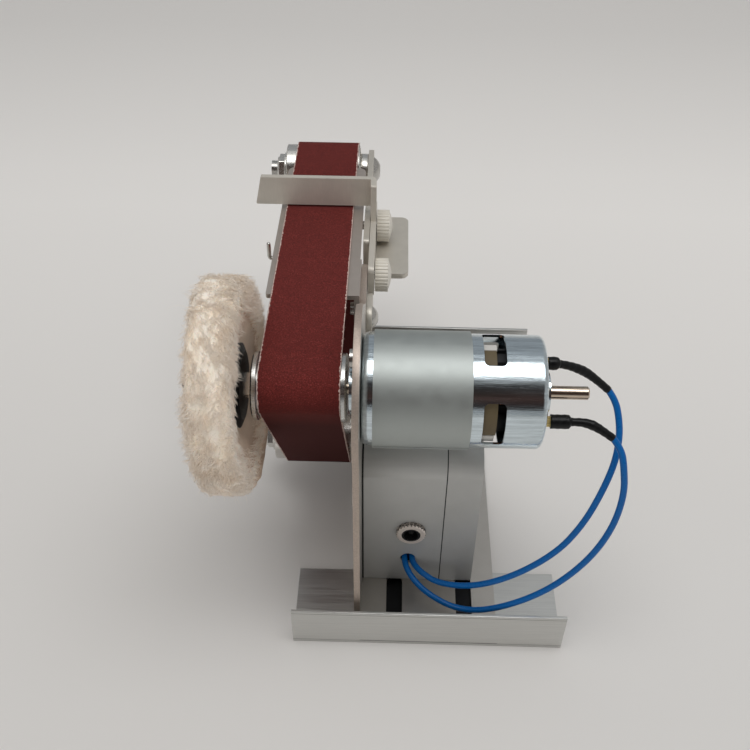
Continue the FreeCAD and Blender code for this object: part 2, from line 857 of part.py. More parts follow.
def belt_loop(gap):
    """Closed line round the three wheels, at a gap outside their walls."""
    wheels = [(at(belt_left, y, z), radius + gap) for y, z, radius in wheel_centres()]
    middle = (wheels[0][0] + wheels[1][0] + wheels[2][0]) * (1 / 3)
    normals = []
    for i, (start, start_r) in enumerate(wheels):
        end, end_r = wheels[(i + 1) % 3]
        along = end - start
        distance = along.Length
        along.normalize()
        side = at(0, -along.z, along.y)
        if side.dot(start - middle) < 0:
            side = side * -1
        lean = (start_r - end_r) / distance
        normals.append(along * lean + side * math.sqrt(1 - lean * lean))
    edges = []
    for i, (start, start_r) in enumerate(wheels):
        end, end_r = wheels[(i + 1) % 3]
        leaving = normals[i]
        turned_to = normals[(i + 1) % 3]
        edges.append(Part.LineSegment(start + leaving * start_r, end + leaving * end_r).toShape())
        turn = leaving + turned_to
        turn.normalize()
        arc = Part.Arc(end + leaving * end_r, end + turn * end_r, end + turned_to * end_r)
        edges.append(arc.toShape())
    return Part.Wire(edges)


def abrasive_belt():
    outer = Part.Face(belt_loop(running_gap + belt_thickness)).extrude(X * belt_width)
    inner = Part.Face(belt_loop(running_gap)).extrude(X * belt_width)
    return outer.cut(inner)


def roller(y, z):
    """Steel sleeve that turns on two bearings."""
    length = roller_right - roller_left
    shape = tube(roller_r, roller_r - roller_wall, roller_left, length, y, z)
    rims = [edge for edge in shape.Edges
            if edge.BoundBox.XLength < 0.01 and edge.BoundBox.ZLength > 2 * roller_r - roller_wall]
    return shape.makeFillet(roller_round, rims)


def roller_bearings(y, z):
    pair = []
    for left in (roller_left + bearing_inset, roller_right - bearing_inset - bearing_width):
        pair.append(tube(roller_r - roller_wall, axle_r + bearing_fit, left, bearing_width, y, z))
    return Part.makeCompound(pair)


def axle(y, z):
    """Button head screw that carries a roller, with its head on the right."""
    shank = rod(axle_r, axle_end_x, -axle_end_x, y, z)
    head = dome(axle_head_r, axle_head_height, 0, y, z)
    socket = hexagon(axle_socket, axle_head_height - socket_depth, axle_head_height, y, z)
    return shank.fuse(head).removeSplitter().cut(socket)


def axle_spacers(y, z):
    """Two rings between the plate and the roller, and a washer at the free end."""
    left = roller_right + running_gap
    width = (-sheet - left) / 2
    free_end = roller_left - running_gap - washer_thickness
    rings = [tube(washer_r, axle_r, left, width, y, z),
             tube(washer_r, axle_r, left + width, width, y, z),
             tube(washer_r, axle_r, free_end, washer_thickness, y, z)]
    return Part.makeCompound(rings)


def axle_nut(y, z):
    """Lock nut with a rounded collar."""
    right = roller_left - running_gap - washer_thickness
    shape = hexagon(nut_width, right - nut_thickness, nut_thickness, y, z)
    length = nut_thickness + nut_collar
    collar = rod(nut_collar_r, right - length, nut_collar, y, z)
    shape = shape.fuse(collar).removeSplitter()
    return shape.cut(rod(axle_r, right - length, length, y, z))


# Platen and hook
def platen():
    """Bent sheet under the upper run, with a tab screwed to the neck."""
    low = platen_top - platen_thickness
    plate = prism([(platen_left, platen_near_s, 1), (platen_right, platen_near_s, 0),
                   (platen_right, platen_far_s, platen_round), (platen_left, platen_far_s, platen_round)],
                  "xy", low, platen_thickness)
    width = -sheet - platen_tab_left
    length = platen_tab_far_s - platen_near_s
    corner = at(platen_tab_left, platen_near_s, platen_top - platen_tab_depth)
    tab = Part.makeBox(width, length, platen_tab_depth, corner)
    shape = plate.fuse(tab).removeSplitter()
    screw_z = motor_axis_z + platen_screw_h
    for s in (platen_screw_near, platen_screw_far):
        shape = shape.cut(rod(platen_screw_r + bearing_fit, platen_tab_left, width, s, screw_z))
    shape = shape.cut(rod(hook_wire_r, platen_left, hook_root, hook_s, platen_top - platen_thickness / 2))
    return on_run(shape)


def platen_screws():
    screws = []
    z = motor_axis_z + platen_screw_h
    left = platen_tab_left - platen_screw_head_height
    for s in (platen_screw_near, platen_screw_far):
        shank = rod(platen_screw_r, platen_tab_left, -platen_tab_left, s, z)
        head = rod(platen_screw_head_r, left, platen_screw_head_height, s, z)
        head = head.cut(hexagon(platen_screw_socket, left, platen_screw_head_height / 2, s, z))
        screws.append(shank.fuse(head).removeSplitter())
    return on_run(Part.makeCompound(screws))


def side_hook():
    """Wire pin that comes out of the platen's left edge and turns up to a round tip."""
    z = platen_top - platen_thickness / 2
    start = at(platen_left + hook_root, hook_s, z)
    outer = platen_left - hook_out
    turn_in = at(outer + hook_bend, hook_s, z)
    slack = hook_bend * (1 - math.sin(math.pi / 4))
    middle = at(outer + slack, hook_s, z + slack)
    turn_out = at(outer, hook_s, z + hook_bend)
    end = at(outer, hook_s, z + hook_rise)
    path = Part.Wire([Part.LineSegment(start, turn_in).toShape(), Part.Arc(turn_in, middle, turn_out).toShape(),
                      Part.LineSegment(turn_out, end).toShape()])
    section = Part.Wire(Part.makeCircle(hook_wire_r, start, X))
    shape = path.makePipeShell([section], True, False)
    tip = Part.makeSphere(hook_wire_r, end)
    return on_run(shape.fuse(tip).removeSplitter())


# Sliding arm, tool rest and clamps
def arm_plate():
    """Sliding arm: a plate for the far roller with a thumb flange bent out at its lower edge."""
    z = motor_axis_z
    far = upper_reach + arm_nose_r
    corners = [(arm_near_s, z + arm_bottom_h, 0), (far, z + arm_bottom_h, arm_nose_round),
               (far, z + upper_axle_h + arm_nose_r, arm_nose_round), (arm_near_s, z + arm_top_h, 1.6)]
    wall = prism(corners, "yz", -sheet, sheet)
    flange_area = [(-sheet, arm_near_s, 0), (lug_width, arm_near_s, lug_corner_r),
                   (lug_width, lug_far_s, lug_corner_r), (-sheet, lug_far_s, 0)]
    flange = prism(flange_area, "xy", z + arm_bottom_h, sheet)
    shape = wall.fuse(flange).removeSplitter()
    shape = shape.cut(rod(axle_r, -sheet, sheet, upper_reach, z + upper_axle_h))
    shape = shape.cut(rod(clamp_screw_r + bearing_fit, -sheet, sheet, rest_clamp_s, z + rest_clamp_h))
    return on_run(shape)


def tool_rest():
    """Bent sheet: the rest stands across the belt, its strap lies along the arm under two clamp knobs."""
    z = motor_axis_z
    left = slide_gap
    right = left + sheet
    low = z + rest_low_h
    top = low + rest_height
    face = prism([(rest_left, low, 0.6), (right - rest_bend, low, 0), (right - rest_bend, top, 0),
                  (rest_left + rest_slant, top, 0.6)], "xz", rest_s, sheet)
    far = rest_s + sheet - rest_bend
    centre = at(right - rest_bend, far, low)
    bend = Part.makeCylinder(rest_bend, rest_height, centre, Z, 90)
    bend = bend.cut(Part.makeCylinder(rest_bend - sheet, rest_height, centre, Z))
    leg = prism([(rest_near_s, z + strap_top_h - 3, 0), (far, z + strap_top_h - 3, 0), (far, top, 0),
                 (rest_near_s, top, 1.0)], "yz", left, sheet)
    strap = prism([(strap_near_s, z + strap_bottom_h, 4), (strap_far_s, z + strap_bottom_h, 4),
                   (strap_far_s, z + strap_top_h, 4), (strap_near_s, z + strap_top_h, 2.5)], "yz", left, sheet)
    shape = face.fuse([bend, leg, strap]).removeSplitter()
    shape = shape.cut(slot_yz(rest_slot_near, rest_slot_far, clamp_slot_r, rest_clamp_h, left, sheet))
    shape = shape.cut(slot_yz(arm_slot_near, arm_slot_far, clamp_slot_r, arm_clamp_h, left, sheet))
    return on_run(shape)


def clamp_knob(s, h):
    """Ribbed plastic knob with a domed face."""
    z = motor_axis_z + h
    shape = rod(knob_r, knob_face_x, knob_thickness, s, z)
    cap = dome(knob_r - 2 * knob_rib_r, knob_dome, knob_face_x + knob_thickness, s, z)
    shape = shape.fuse(cap).removeSplitter()
    ribs = []
    for i in range(knob_ribs):
        angle = 2 * math.pi * i / knob_ribs
        ribs.append(rod(knob_rib_r, knob_face_x, knob_thickness, s + knob_r * math.cos(angle),
                        z + knob_r * math.sin(angle)))
    shape = shape.cut(Part.makeCompound(ribs))
    return on_run(shape.cut(rod(clamp_screw_r, knob_face_x, knob_grip, s, z)))


def clamp_screw(s, h):
    """Steel screw moulded into a knob."""
    tip = -sheet - clamp_screw_tail
    return on_run(rod(clamp_screw_r, tip, knob_face_x + knob_grip - tip, s, motor_axis_z + h))


def arm_stop():
    """Small rounded link on the neck that the strap's near end comes up to."""
    z = motor_axis_z + stop_h
    reach = stop_r + stop_reach
    shape = prism([(stop_s - stop_r, z - stop_r, stop_r - 0.1), (stop_s + reach, z - stop_r, stop_r - 0.1),
                   (stop_s + reach, z + stop_r, stop_r - 0.1), (stop_s - stop_r, z + stop_r, stop_r - 0.1)],
                  "yz", 0, sheet)
    return on_run(shape.cut(rod(clamp_screw_r, 0, sheet, stop_s, z)))


def stop_screw():
    z = motor_axis_z + stop_h
    shank = rod(clamp_screw_r, -sheet, 2 * sheet, stop_s, z)
    head = dome(dome_head_r, dome_head_height, sheet, stop_s, z)
    socket = hexagon(small_socket, sheet + dome_head_height - socket_depth, dome_head_height, stop_s, z)
    return on_run(shank.fuse(head).removeSplitter().cut(socket))


# Control box
def box_outline(inset):
    """Side view of the box (y, z), drawn in by a wall."""
    low = box_low_z + inset
    top = box_low_z + box_height - inset
    front = box_front_y + inset
    back = box_back_y - inset
    round_r = box_round - inset
    return [(front, low, 0.4), (back, low, 0.4), (back, top, round_r), (front, top, round_r)]


def box_shell(left, right, closed_left):
    """One half of the box, open where it meets the other half."""
    shape = prism(box_outline(0), "yz", left, right - left)
    inner_left = left + box_wall if closed_left else left
    inner_right = right if closed_left else right - box_wall
    return shape.cut(prism(box_outline(box_wall), "yz", inner_left, inner_right - inner_left))


def box_cover():
    """Left half of the box, with the inlets in front and the controls behind."""
    shape = box_shell(0.0, box_seam_x, True)
    shape = shape.cut(bar_y(jack_hole_r, jack_x, box_front_y, jack_z, box_wall))
    shape = shape.cut(bar_y(wire_hole_r, wire_hole_x, box_front_y, wire_hole_z, box_wall))
    shape = shape.cut(bar_y(pot_bush_r, knob_x, box_back_y - box_wall, knob_z, box_wall))
    corner = at(knob_x - switch_width / 2, box_back_y - box_wall, switch_z - switch_height / 2)
    shape = shape.cut(Part.makeBox(switch_width, box_wall, switch_height, corner))
    for y, z in box_screw_places():
        shape = shape.cut(rod(box_screw_r, 0, box_wall, y, z))
    return shape


def box_lid():
    """Right half of the box."""
    return box_shell(box_seam_x, box_width, False)


def box_screw_places():
    return [(box_screw_y, box_screw_z), (box_screw_y + box_screw_pitch, box_screw_z)]


def box_screws():
    """Pan head screws through the plate into the box, with nuts inside."""
    pieces = []
    for y, z in box_screw_places():
        shank = rod(box_screw_r, -sheet, sheet + box_wall + box_nut_thickness, y, z)
        head = dome(box_screw_head_r, box_screw_head_height, 0, 0, 0)
        head.rotate(at(0, 0, 0), Z, 180)
        head.translate(at(-sheet, y, z))
        socket = hexagon(small_socket, -sheet - box_screw_head_height, socket_depth, y, z)
        screw = shank.fuse(head).removeSplitter().cut(socket)
        nut = hexagon(box_nut_width, box_wall, box_nut_thickness, y, z)
        nut = nut.cut(rod(box_screw_r, box_wall, box_nut_thickness, y, z))
        pieces.extend([screw, nut])
    return Part.makeCompound(pieces)


def jack_body():
    """Power socket: a threaded barrel through the wall, with a pin in its bore."""
    y = box_front_y
    barrel = bar_y(jack_hole_r, jack_x, y - jack_nut_thickness, jack_z, box_wall + jack_nut_thickness)
    block = bar_y(jack_block_r, jack_x, y + box_wall, jack_z, jack_block_length)
    shape = barrel.fuse(block).removeSplitter()
    shape = shape.cut(bar_y(jack_bore_r, jack_x, y - jack_nut_thickness, jack_z, jack_bore_depth))
    pin = bar_y(jack_pin_r, jack_x, y - jack_nut_thickness + jack_pin_inset, jack_z,
                jack_bore_depth - jack_pin_inset)
    return shape.fuse(pin).removeSplitter()


def jack_nut():
    """Ribbed ring nut on the socket."""
    y = box_front_y - jack_nut_thickness
    shape = bar_y(jack_nut_r, jack_x, y, jack_z, jack_nut_thickness)
    rims = [edge for edge in shape.Edges if abs(edge.BoundBox.YMax - y) < 0.01]
    shape = shape.makeChamfer(0.5, rims)
    teeth = []
    for i in range(jack_teeth):
        angle = 2 * math.pi * i / jack_teeth
        teeth.append(bar_y(jack_tooth_r, jack_x + jack_nut_r * math.cos(angle), y,
                           jack_z + jack_nut_r * math.sin(angle), jack_nut_thickness))
    shape = shape.cut(Part.makeCompound(teeth))
    return shape.cut(bar_y(jack_hole_r, jack_x, y, jack_z, jack_nut_thickness))


def board_corner():
    return (wire_hole_x - board_width / 2 + board_offset, box_front_y + box_wall + board_gap)


def circuit_board():
    """Speed control board on four pillars."""
    x, y = board_corner()
    low = box_low_z + box_wall + board_stand
    return Part.makeBox(board_width, board_length, board_thickness, at(x, y, low))


def board_parts():
    """Pillars under the board, and its heat sink, capacitor and screw terminals."""
    x, y = board_corner()
    floor = box_low_z + box_wall
    top = floor + board_stand + board_thickness
    pieces = []
    for px in (x + pillar_inset, x + board_width - pillar_inset):
        for py in (y + pillar_inset, y + board_length - pillar_inset):
            pieces.append(post(pillar_r, px, py, floor, board_stand))
    sink = Part.makeBox(sink_width, sink_depth, sink_height, at(x + sink_fin, y + sink_place_y, top))
    for i in range(3):
        groove = at(x + 2 * sink_fin * (i + 1), y + sink_place_y + sink_fin, top)
        sink = sink.cut(Part.makeBox(sink_fin, sink_depth, sink_height, groove))
    pieces.append(sink)
    pieces.append(post(capacitor_r, x + board_width - capacitor_r - pillar_inset, y + capacitor_place, top,
                       capacitor_height))
    block_height = lead_lower_points[-1][2] + terminal_block_rise - top
    block_corner = at(wire_hole_x - terminal_block_width / 2, lead_lower_points[-1][1], top)
    pieces.append(Part.makeBox(terminal_block_width, terminal_block_depth, block_height, block_corner))
    return Part.makeCompound(pieces)


def potentiometer():
    """Speed control behind the wall, with its bush through it."""
    inner = box_back_y - box_wall
    body = bar_y(pot_body_r, knob_x, inner - pot_body_depth, knob_z, pot_body_depth)
    bush = bar_y(pot_bush_r, knob_x, inner, knob_z, box_wall + pot_bush_length)
    bore = bar_y(pot_shaft_r + bearing_fit, knob_x, inner - pot_bore_depth, knob_z,
                 pot_bore_depth + box_wall + pot_bush_length)
    return body.fuse(bush).removeSplitter().cut(bore)


def speed_knob():
    """Fluted knob with its shaft in the speed control."""
    shape = bar_y(speed_knob_r, knob_x, knob_back_y, knob_z, speed_knob_length)
    end = knob_back_y + speed_knob_length
    rims = [edge for edge in shape.Edges if edge.BoundBox.YLength < 0.01 and edge.BoundBox.YMin > end - 0.01]
    shape = shape.makeFillet(speed_knob_round, rims)
    ring_r = speed_knob_r + speed_knob_flute_r / 3
    flutes = []
    for i in range(speed_knob_flutes):
        angle = 2 * math.pi * i / speed_knob_flutes
        flutes.append(bar_y(speed_knob_flute_r, knob_x + ring_r * math.cos(angle), knob_back_y,
                            knob_z + ring_r * math.sin(angle), speed_knob_length - 2 * speed_knob_round))
    shape = shape.cut(Part.makeCompound(flutes))
    pointer = Part.makeBox(pointer_width, pointer_depth, speed_knob_r,
                           at(knob_x - pointer_width / 2, end - pointer_depth / 2, knob_z + pointer_width))
    low = box_back_y - box_wall - pot_bore_depth + running_gap
    shaft = bar_y(pot_shaft_r, knob_x, low, knob_z, knob_back_y - low)
    return shape.cut(pointer).fuse(shaft).removeSplitter()


def switch_body():
    """Rocker switch housing in the back wall."""
    inner = box_back_y
    wide = switch_width + 2 * switch_bezel
    tall = switch_height + 2 * switch_bezel
    area = rectangle(knob_x - wide / 2, knob_x + wide / 2, switch_z - tall / 2, switch_z + tall / 2, switch_wall)
    bezel = prism(area, "xz", inner, switch_bezel)
    case = Part.makeBox(switch_width, switch_depth, switch_height,
                        at(knob_x - switch_width / 2, inner - switch_depth, switch_z - switch_height / 2))
    well = Part.makeBox(switch_width - 2 * switch_wall, switch_depth, switch_height - 2 * switch_wall,
                        at(knob_x - switch_width / 2 + switch_wall, inner - switch_depth + switch_floor,
                           switch_z - switch_height / 2 + switch_wall))
    shape = bezel.fuse(case).removeSplitter().cut(well)
    return shape.cut(rod(rocker_pin_r + bearing_fit, knob_x - switch_width / 2, switch_width,
                         rocker_pivot_y, switch_z))


def switch_rocker():
    """Rocker with one end raised, on pins that turn in the housing's side walls."""
    y = rocker_pivot_y
    half = switch_height / 2 - switch_wall - 1.5
    width = switch_width - 2 * switch_wall - 2 * running_gap
    left = knob_x - width / 2
    points = [at(left, y - 2.0, switch_z - half + 1.5), at(left, y - 2.0, switch_z + half - 1.5),
              at(left, y + rocker_face + rocker_lift, switch_z + half), at(left, y + rocker_face, switch_z),
              at(left, y + rocker_face, switch_z - half)]
    shape = Part.Face(Part.makePolygon(points + points[:1])).extrude(X * width)
    pin_length = switch_width - 2 * slide_gap
    return shape.fuse(rod(rocker_pin_r, knob_x - pin_length / 2, pin_length, y, switch_z)).removeSplitter()


# Motor leads
def route_wire(points):
    """Straight runs joined by arcs, each as large as its two runs allow; prints the radii."""
    corners = [at(*p) for p in points]
    edges = []
    radii = []
    start = corners[0]
    for i in range(1, len(corners) - 1):
        back = corners[i - 1] - corners[i]
        ahead = corners[i + 1] - corners[i]
        run = min(back.Length, ahead.Length)
        back.normalize()
        ahead.normalize()
        turn = math.pi - back.getAngle(ahead)
        cut = 0.45 * run
        radius = cut / math.tan(turn / 2)
        radii.append(round(radius, 1))
        bisector = back + ahead
        bisector.normalize()
        middle = corners[i] + bisector * (radius / math.cos(turn / 2) - radius)
        first = corners[i] + back * cut
        last = corners[i] + ahead * cut
        edges.append(Part.LineSegment(start, first).toShape())
        edges.append(Part.Arc(first, middle, last).toShape())
        start = last
    edges.append(Part.LineSegment(start, corners[-1]).toShape())
    print("radii", radii)
    return Part.Wire(edges)


def lead(points):
    """Round insulated wire along its route."""
    path = route_wire(points)
    direction = at(*points[1]) - at(*points[0])
    section = Part.Wire(Part.makeCircle(lead_r, at(*points[0]), direction))
    shape = path.makePipeShell([section], True, False)
    print("lead length", round(path.Length, 1), "volume ratio",
          round(shape.Volume / (math.pi * lead_r ** 2 * path.Length), 4))
    return shape


def heat_shrink(side, gap, grip, points):
    """Shrunk sleeve: wide over the terminal, drawn in at a neck, then close round the lead."""
    start = can_length + gap
    points = [(can_length + x, y, motor_axis_z + z) for x, y, z in points]
    tab_y = side * terminal_offset / math.sqrt(2)
    tab_z = motor_axis_z + tab_y
    wide = rod(sleeve_r, start, grip, tab_y, tab_z)
    neck = Part.makeCone(sleeve_r, sleeve_tail_r, sleeve_neck, at(start + grip, tab_y, tab_z), X)
    tail_start = (start + grip + sleeve_neck, tab_y, tab_z)
    path = route_wire([tail_start] + points)
    section = Part.Wire(Part.makeCircle(sleeve_tail_r, at(*tail_start), at(*points[0]) - at(*tail_start)))
    tail = path.makePipeShell([section], True, False)
    shape = wide.fuse([neck, tail]).removeSplitter()
    return shape.cut(terminal_tabs())


def main():
    upper = run_point(upper_reach, upper_axle_h)
    lower = (lower_axis_y, lower_axis_z)
    pieces = {
        "front_foot": foot(True),
        "rear_foot": foot(False),
        "foot_screws": foot_screws(),
        "main_frame": main_frame(),
        "motor_can": motor_can(),
        "flux_ring": flux_ring(),
        "magnets": magnets(),
        "motor_end_cap": end_cap(),
        "terminals": terminal_tabs(),
        "brush_plate": brush_plate(),
        "brushes": brushes(),
        "motor_bearings": motor_bearings(),
        "motor_screws": motor_screws(),
        "motor_shaft": motor_shaft(),
        "armature_core": armature_core(),
        "windings": windings(),
        "commutator": commutator(),
        "drive_wheel": drive_wheel(),
        "grub_screw": grub_screw(),
        "arbor": arbor(),
        "hub_plates": hub_plates(),
        "buffing_wheel": buffing_wheel(),
        "buff_nut": buff_nut(),
        "abrasive_belt": abrasive_belt(),
        "upper_roller": roller(*upper),
        "upper_bearings": roller_bearings(*upper),
        "upper_axle": axle(*upper),
        "upper_spacers": axle_spacers(*upper),
        "upper_nut": axle_nut(*upper),
        "lower_roller": roller(*lower),
        "lower_bearings": roller_bearings(*lower),
        "lower_axle": axle(*lower),
        "lower_spacers": axle_spacers(*lower),
        "lower_nut": axle_nut(*lower),
        "platen": platen(),
        "platen_screws": platen_screws(),
        "side_hook": side_hook(),
        "arm_plate": arm_plate(),
        "tool_rest": tool_rest(),
        "rest_knob": clamp_knob(rest_clamp_s, rest_clamp_h),
        "rest_knob_screw": clamp_screw(rest_clamp_s, rest_clamp_h),
        "arm_knob": clamp_knob(arm_clamp_s, arm_clamp_h),
        "arm_knob_screw": clamp_screw(arm_clamp_s, arm_clamp_h),
        "arm_stop": arm_stop(),
        "stop_screw": stop_screw(),
        "box_cover": box_cover(),
        "box_lid": box_lid(),
        "box_screws": box_screws(),
        "jack_body": jack_body(),
        "jack_nut": jack_nut(),
        "circuit_board": circuit_board(),
        "board_parts": board_parts(),
        "potentiometer": potentiometer(),
        "speed_knob": speed_knob(),
        "switch_body": switch_body(),
        "switch_rocker": switch_rocker(),
    }
    pieces["lead_upper"] = lead(lead_upper_points)
    pieces["lead_lower"] = lead(lead_lower_points)
    pieces["sleeve_upper"] = heat_shrink(1, sleeve_upper_gap, sleeve_upper_grip, sleeve_upper_points)
    pieces["sleeve_lower"] = heat_shrink(-1, sleeve_lower_gap, sleeve_lower_grip, sleeve_lower_points)
    for name, shape in pieces.items():
        if not shape.isValid():
            print("invalid", name)
        export(name, shape)
    print(len(pieces), "nodes")


main()
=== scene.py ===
"""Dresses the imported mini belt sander: metals, sandpaper, wool wheel, leads, sleeves and a pale studio."""

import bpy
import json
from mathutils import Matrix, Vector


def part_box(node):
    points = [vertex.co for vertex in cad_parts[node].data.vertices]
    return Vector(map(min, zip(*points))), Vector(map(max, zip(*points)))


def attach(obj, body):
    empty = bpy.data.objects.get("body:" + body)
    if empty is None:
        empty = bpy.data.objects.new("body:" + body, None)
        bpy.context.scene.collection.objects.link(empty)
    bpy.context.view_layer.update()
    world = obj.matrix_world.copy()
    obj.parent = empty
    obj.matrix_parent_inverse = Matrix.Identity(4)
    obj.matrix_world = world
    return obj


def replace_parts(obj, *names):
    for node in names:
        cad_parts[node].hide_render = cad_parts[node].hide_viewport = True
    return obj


bl_info = {
    "name": "Mini belt sander looks",
    "version": (1, 0, 0),
    "blender": (4, 5, 0),
    "location": "3D View > Sidebar > Sander",
    "description": "Finishes and soft pieces for a small belt sander, built round its packed frame",
    "category": "Object",
}

import json
import math

import bpy
import numpy as np
from bpy.props import FloatProperty, FloatVectorProperty, IntProperty, PointerProperty
from mathutils import Quaternion, Vector

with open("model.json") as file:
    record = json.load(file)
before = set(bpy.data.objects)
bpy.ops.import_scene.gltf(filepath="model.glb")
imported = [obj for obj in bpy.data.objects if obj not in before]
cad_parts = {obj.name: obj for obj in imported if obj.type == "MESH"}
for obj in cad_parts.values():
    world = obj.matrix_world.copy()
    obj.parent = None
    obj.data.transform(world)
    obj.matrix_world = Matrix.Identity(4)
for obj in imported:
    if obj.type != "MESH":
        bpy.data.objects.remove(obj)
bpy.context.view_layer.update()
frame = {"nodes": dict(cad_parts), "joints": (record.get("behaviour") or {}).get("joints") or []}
joints = {joint["name"]: joint for joint in frame["joints"]}

MM = 0.001
CIRCLE = 2 * math.pi

# The motor's axis, and how far from it the two terminals stand
AXIS_Y, AXIS_Z = joints["spindle_turn"]["pos_m"][1:]
TERMINAL_RADIUS = 0.0107

# Left edge of the motor's windows
WINDOW_LEFT = 0.0428

# Radius inside which the hub discs hold the wool wheel stiff
HUB_RADIUS = 15 * MM

# The drive wheel's radius as a share of a roller's, the belt's gap round the wheels and its thickness
DRIVE_SHARE = 9.3 / 12.2
BELT_GAP = 0.3 * MM
BELT_THICKNESS = 0.9 * MM

# Heights between which painted shade darkens the belt's lower part
BELT_PAINTED_SHADE = (0.096, 0.128)

# Routes of the two leads, from their sleeves to the box, in metres
UPPER_LEAD = [(0.0931, 0.0083, 0.1139), (0.0961, 0.0059, 0.1109), (0.0977, 0.0006, 0.1047),
              (0.0976, -0.0045, 0.1004), (0.0964, -0.01, 0.0937), (0.093, -0.0146, 0.0826),
              (0.0877, -0.0184, 0.0671), (0.079, -0.021, 0.0511), (0.0631, -0.0215, 0.0347),
              (0.0471, -0.0195, 0.0236), (0.0332, -0.0152, 0.0194), (0.0262, -0.0106, 0.0201),
              (0.0222, -0.0056, 0.0203), (0.0215, -0.0004, 0.0203), (0.0215, 0.0046, 0.0203)]
LOWER_LEAD = [(0.093, -0.011, 0.1078), (0.0961, -0.0136, 0.105), (0.0976, -0.017, 0.0992),
              (0.0995, -0.0205, 0.0866), (0.0971, -0.0235, 0.0682), (0.0891, -0.0255, 0.0488),
              (0.075, -0.0265, 0.0302), (0.0556, -0.026, 0.0165), (0.0413, -0.0225, 0.011),
              (0.029, -0.018, 0.0151), (0.0222, -0.0126, 0.0184), (0.0188, -0.0066, 0.0202),
              (0.0185, -0.001, 0.0203), (0.0185, 0.0046, 0.0203)]

# The leads: piece, node, route and real length
LEADS = [("blue_lead_upper", "lead_upper", UPPER_LEAD, 0.158),
         ("blue_lead_lower", "lead_lower", LOWER_LEAD, 0.1676)]

# Shrunk sleeves: piece, node, side of the axis, length and radius of the grip on the terminal, points of
# the bend, lead that each ends on, and random seed
SLEEVES = [("shrunk_sleeve_upper", "sleeve_upper", 1, 0.0031, 0.0025,
            [(0.078, 0.0088, 0.1252), (0.0855, 0.0101, 0.1204)], UPPER_LEAD, 1),
           ("shrunk_sleeve_lower", "sleeve_lower", -1, 0.0066, 0.0027,
            [(0.0824, -0.0078, 0.1126), (0.0874, -0.009, 0.1112)], LOWER_LEAD, 2)]

# The tent's light from far behind (0) over the top (0.5) to the front (1)
TENT_STOPS = [(0.0, (0.46, 0.48, 0.50)), (0.30, (0.52, 0.54, 0.56)), (0.348, (0.55, 0.57, 0.59)),
              (0.353, (2.2, 2.2, 2.2)), (0.361, (2.2, 2.2, 2.2)), (0.367, (0.62, 0.64, 0.66)),
              (0.435, (0.85, 0.86, 0.87)), (0.45, (2.0, 2.0, 1.98)), (0.58, (2.0, 2.0, 1.98)),
              (0.60, (0.80, 0.80, 0.80)), (0.665, (0.50, 0.49, 0.48)), (0.69, (0.06, 0.055, 0.055)),
              (0.78, (0.06, 0.045, 0.04)), (0.84, (0.10, 0.055, 0.045)), (0.91, (0.05, 0.04, 0.04)),
              (0.955, (0.06, 0.055, 0.05)), (0.967, (0.60, 0.60, 0.60))]

# How far sideways a direction points where the tent's side walls begin, and where they are full
TENT_SIDES = (0.3, 0.6)

# The floor's painted light and shade: steps added together, each with the range of Y over which it comes in;
# half its width
FLOOR_PAINTED_LIGHT = [(0.75, 0.83, -0.2, 0.05), (0.0, 0.17, 0.05, 0.3), (0.0, -0.1, 0.35, 0.6)]
FLOOR_HALF = 3.0


def colour(name, words, value):
    """A colour that a user can change."""
    return FloatVectorProperty(name=name, description=words, default=value, min=0, max=1, subtype="COLOR")


def length(name, words, value):
    """A size in metres that a user can change."""
    return FloatProperty(name=name, description=words, default=value, min=0, unit="LENGTH", precision=5)


def number(name, words, value):
    """A count that a user can change."""
    return IntProperty(name=name, description=words, default=value, min=1)


def slant(name, words, degrees):
    """An angle that a user can change."""
    return FloatProperty(name=name, description=words, default=math.radians(degrees), subtype="ANGLE")


class SanderSizes(bpy.types.PropertyGroup):
    lead_radius: length("Lead radius", "Outer radius of the blue leads", 1.3 * MM)
    tuft_length: length("Tuft length", "Length of the wool fibres on the wheel", 3.8 * MM)
    tuft_radius: length("Tuft radius", "Thickness of one wool fibre at its root", 0.13 * MM)
    tuft_count: number("Tufts", "Number of tufts on the wool wheel", 3600)
    locks: number("Locks", "Fibres in one tuft", 8)
    wisps: number("Wisps", "Single long hairs that stand out of the wool", 70)
    fringe: number("Fringe", "Short hairs along the wheel's right edge", 2600)
    thread_count: number("Threads", "Loose threads on each edge of the belt", 900)
    edge_round: length("Edge rounding", "Rounding of the sheet's cut edges", 0.25 * MM)


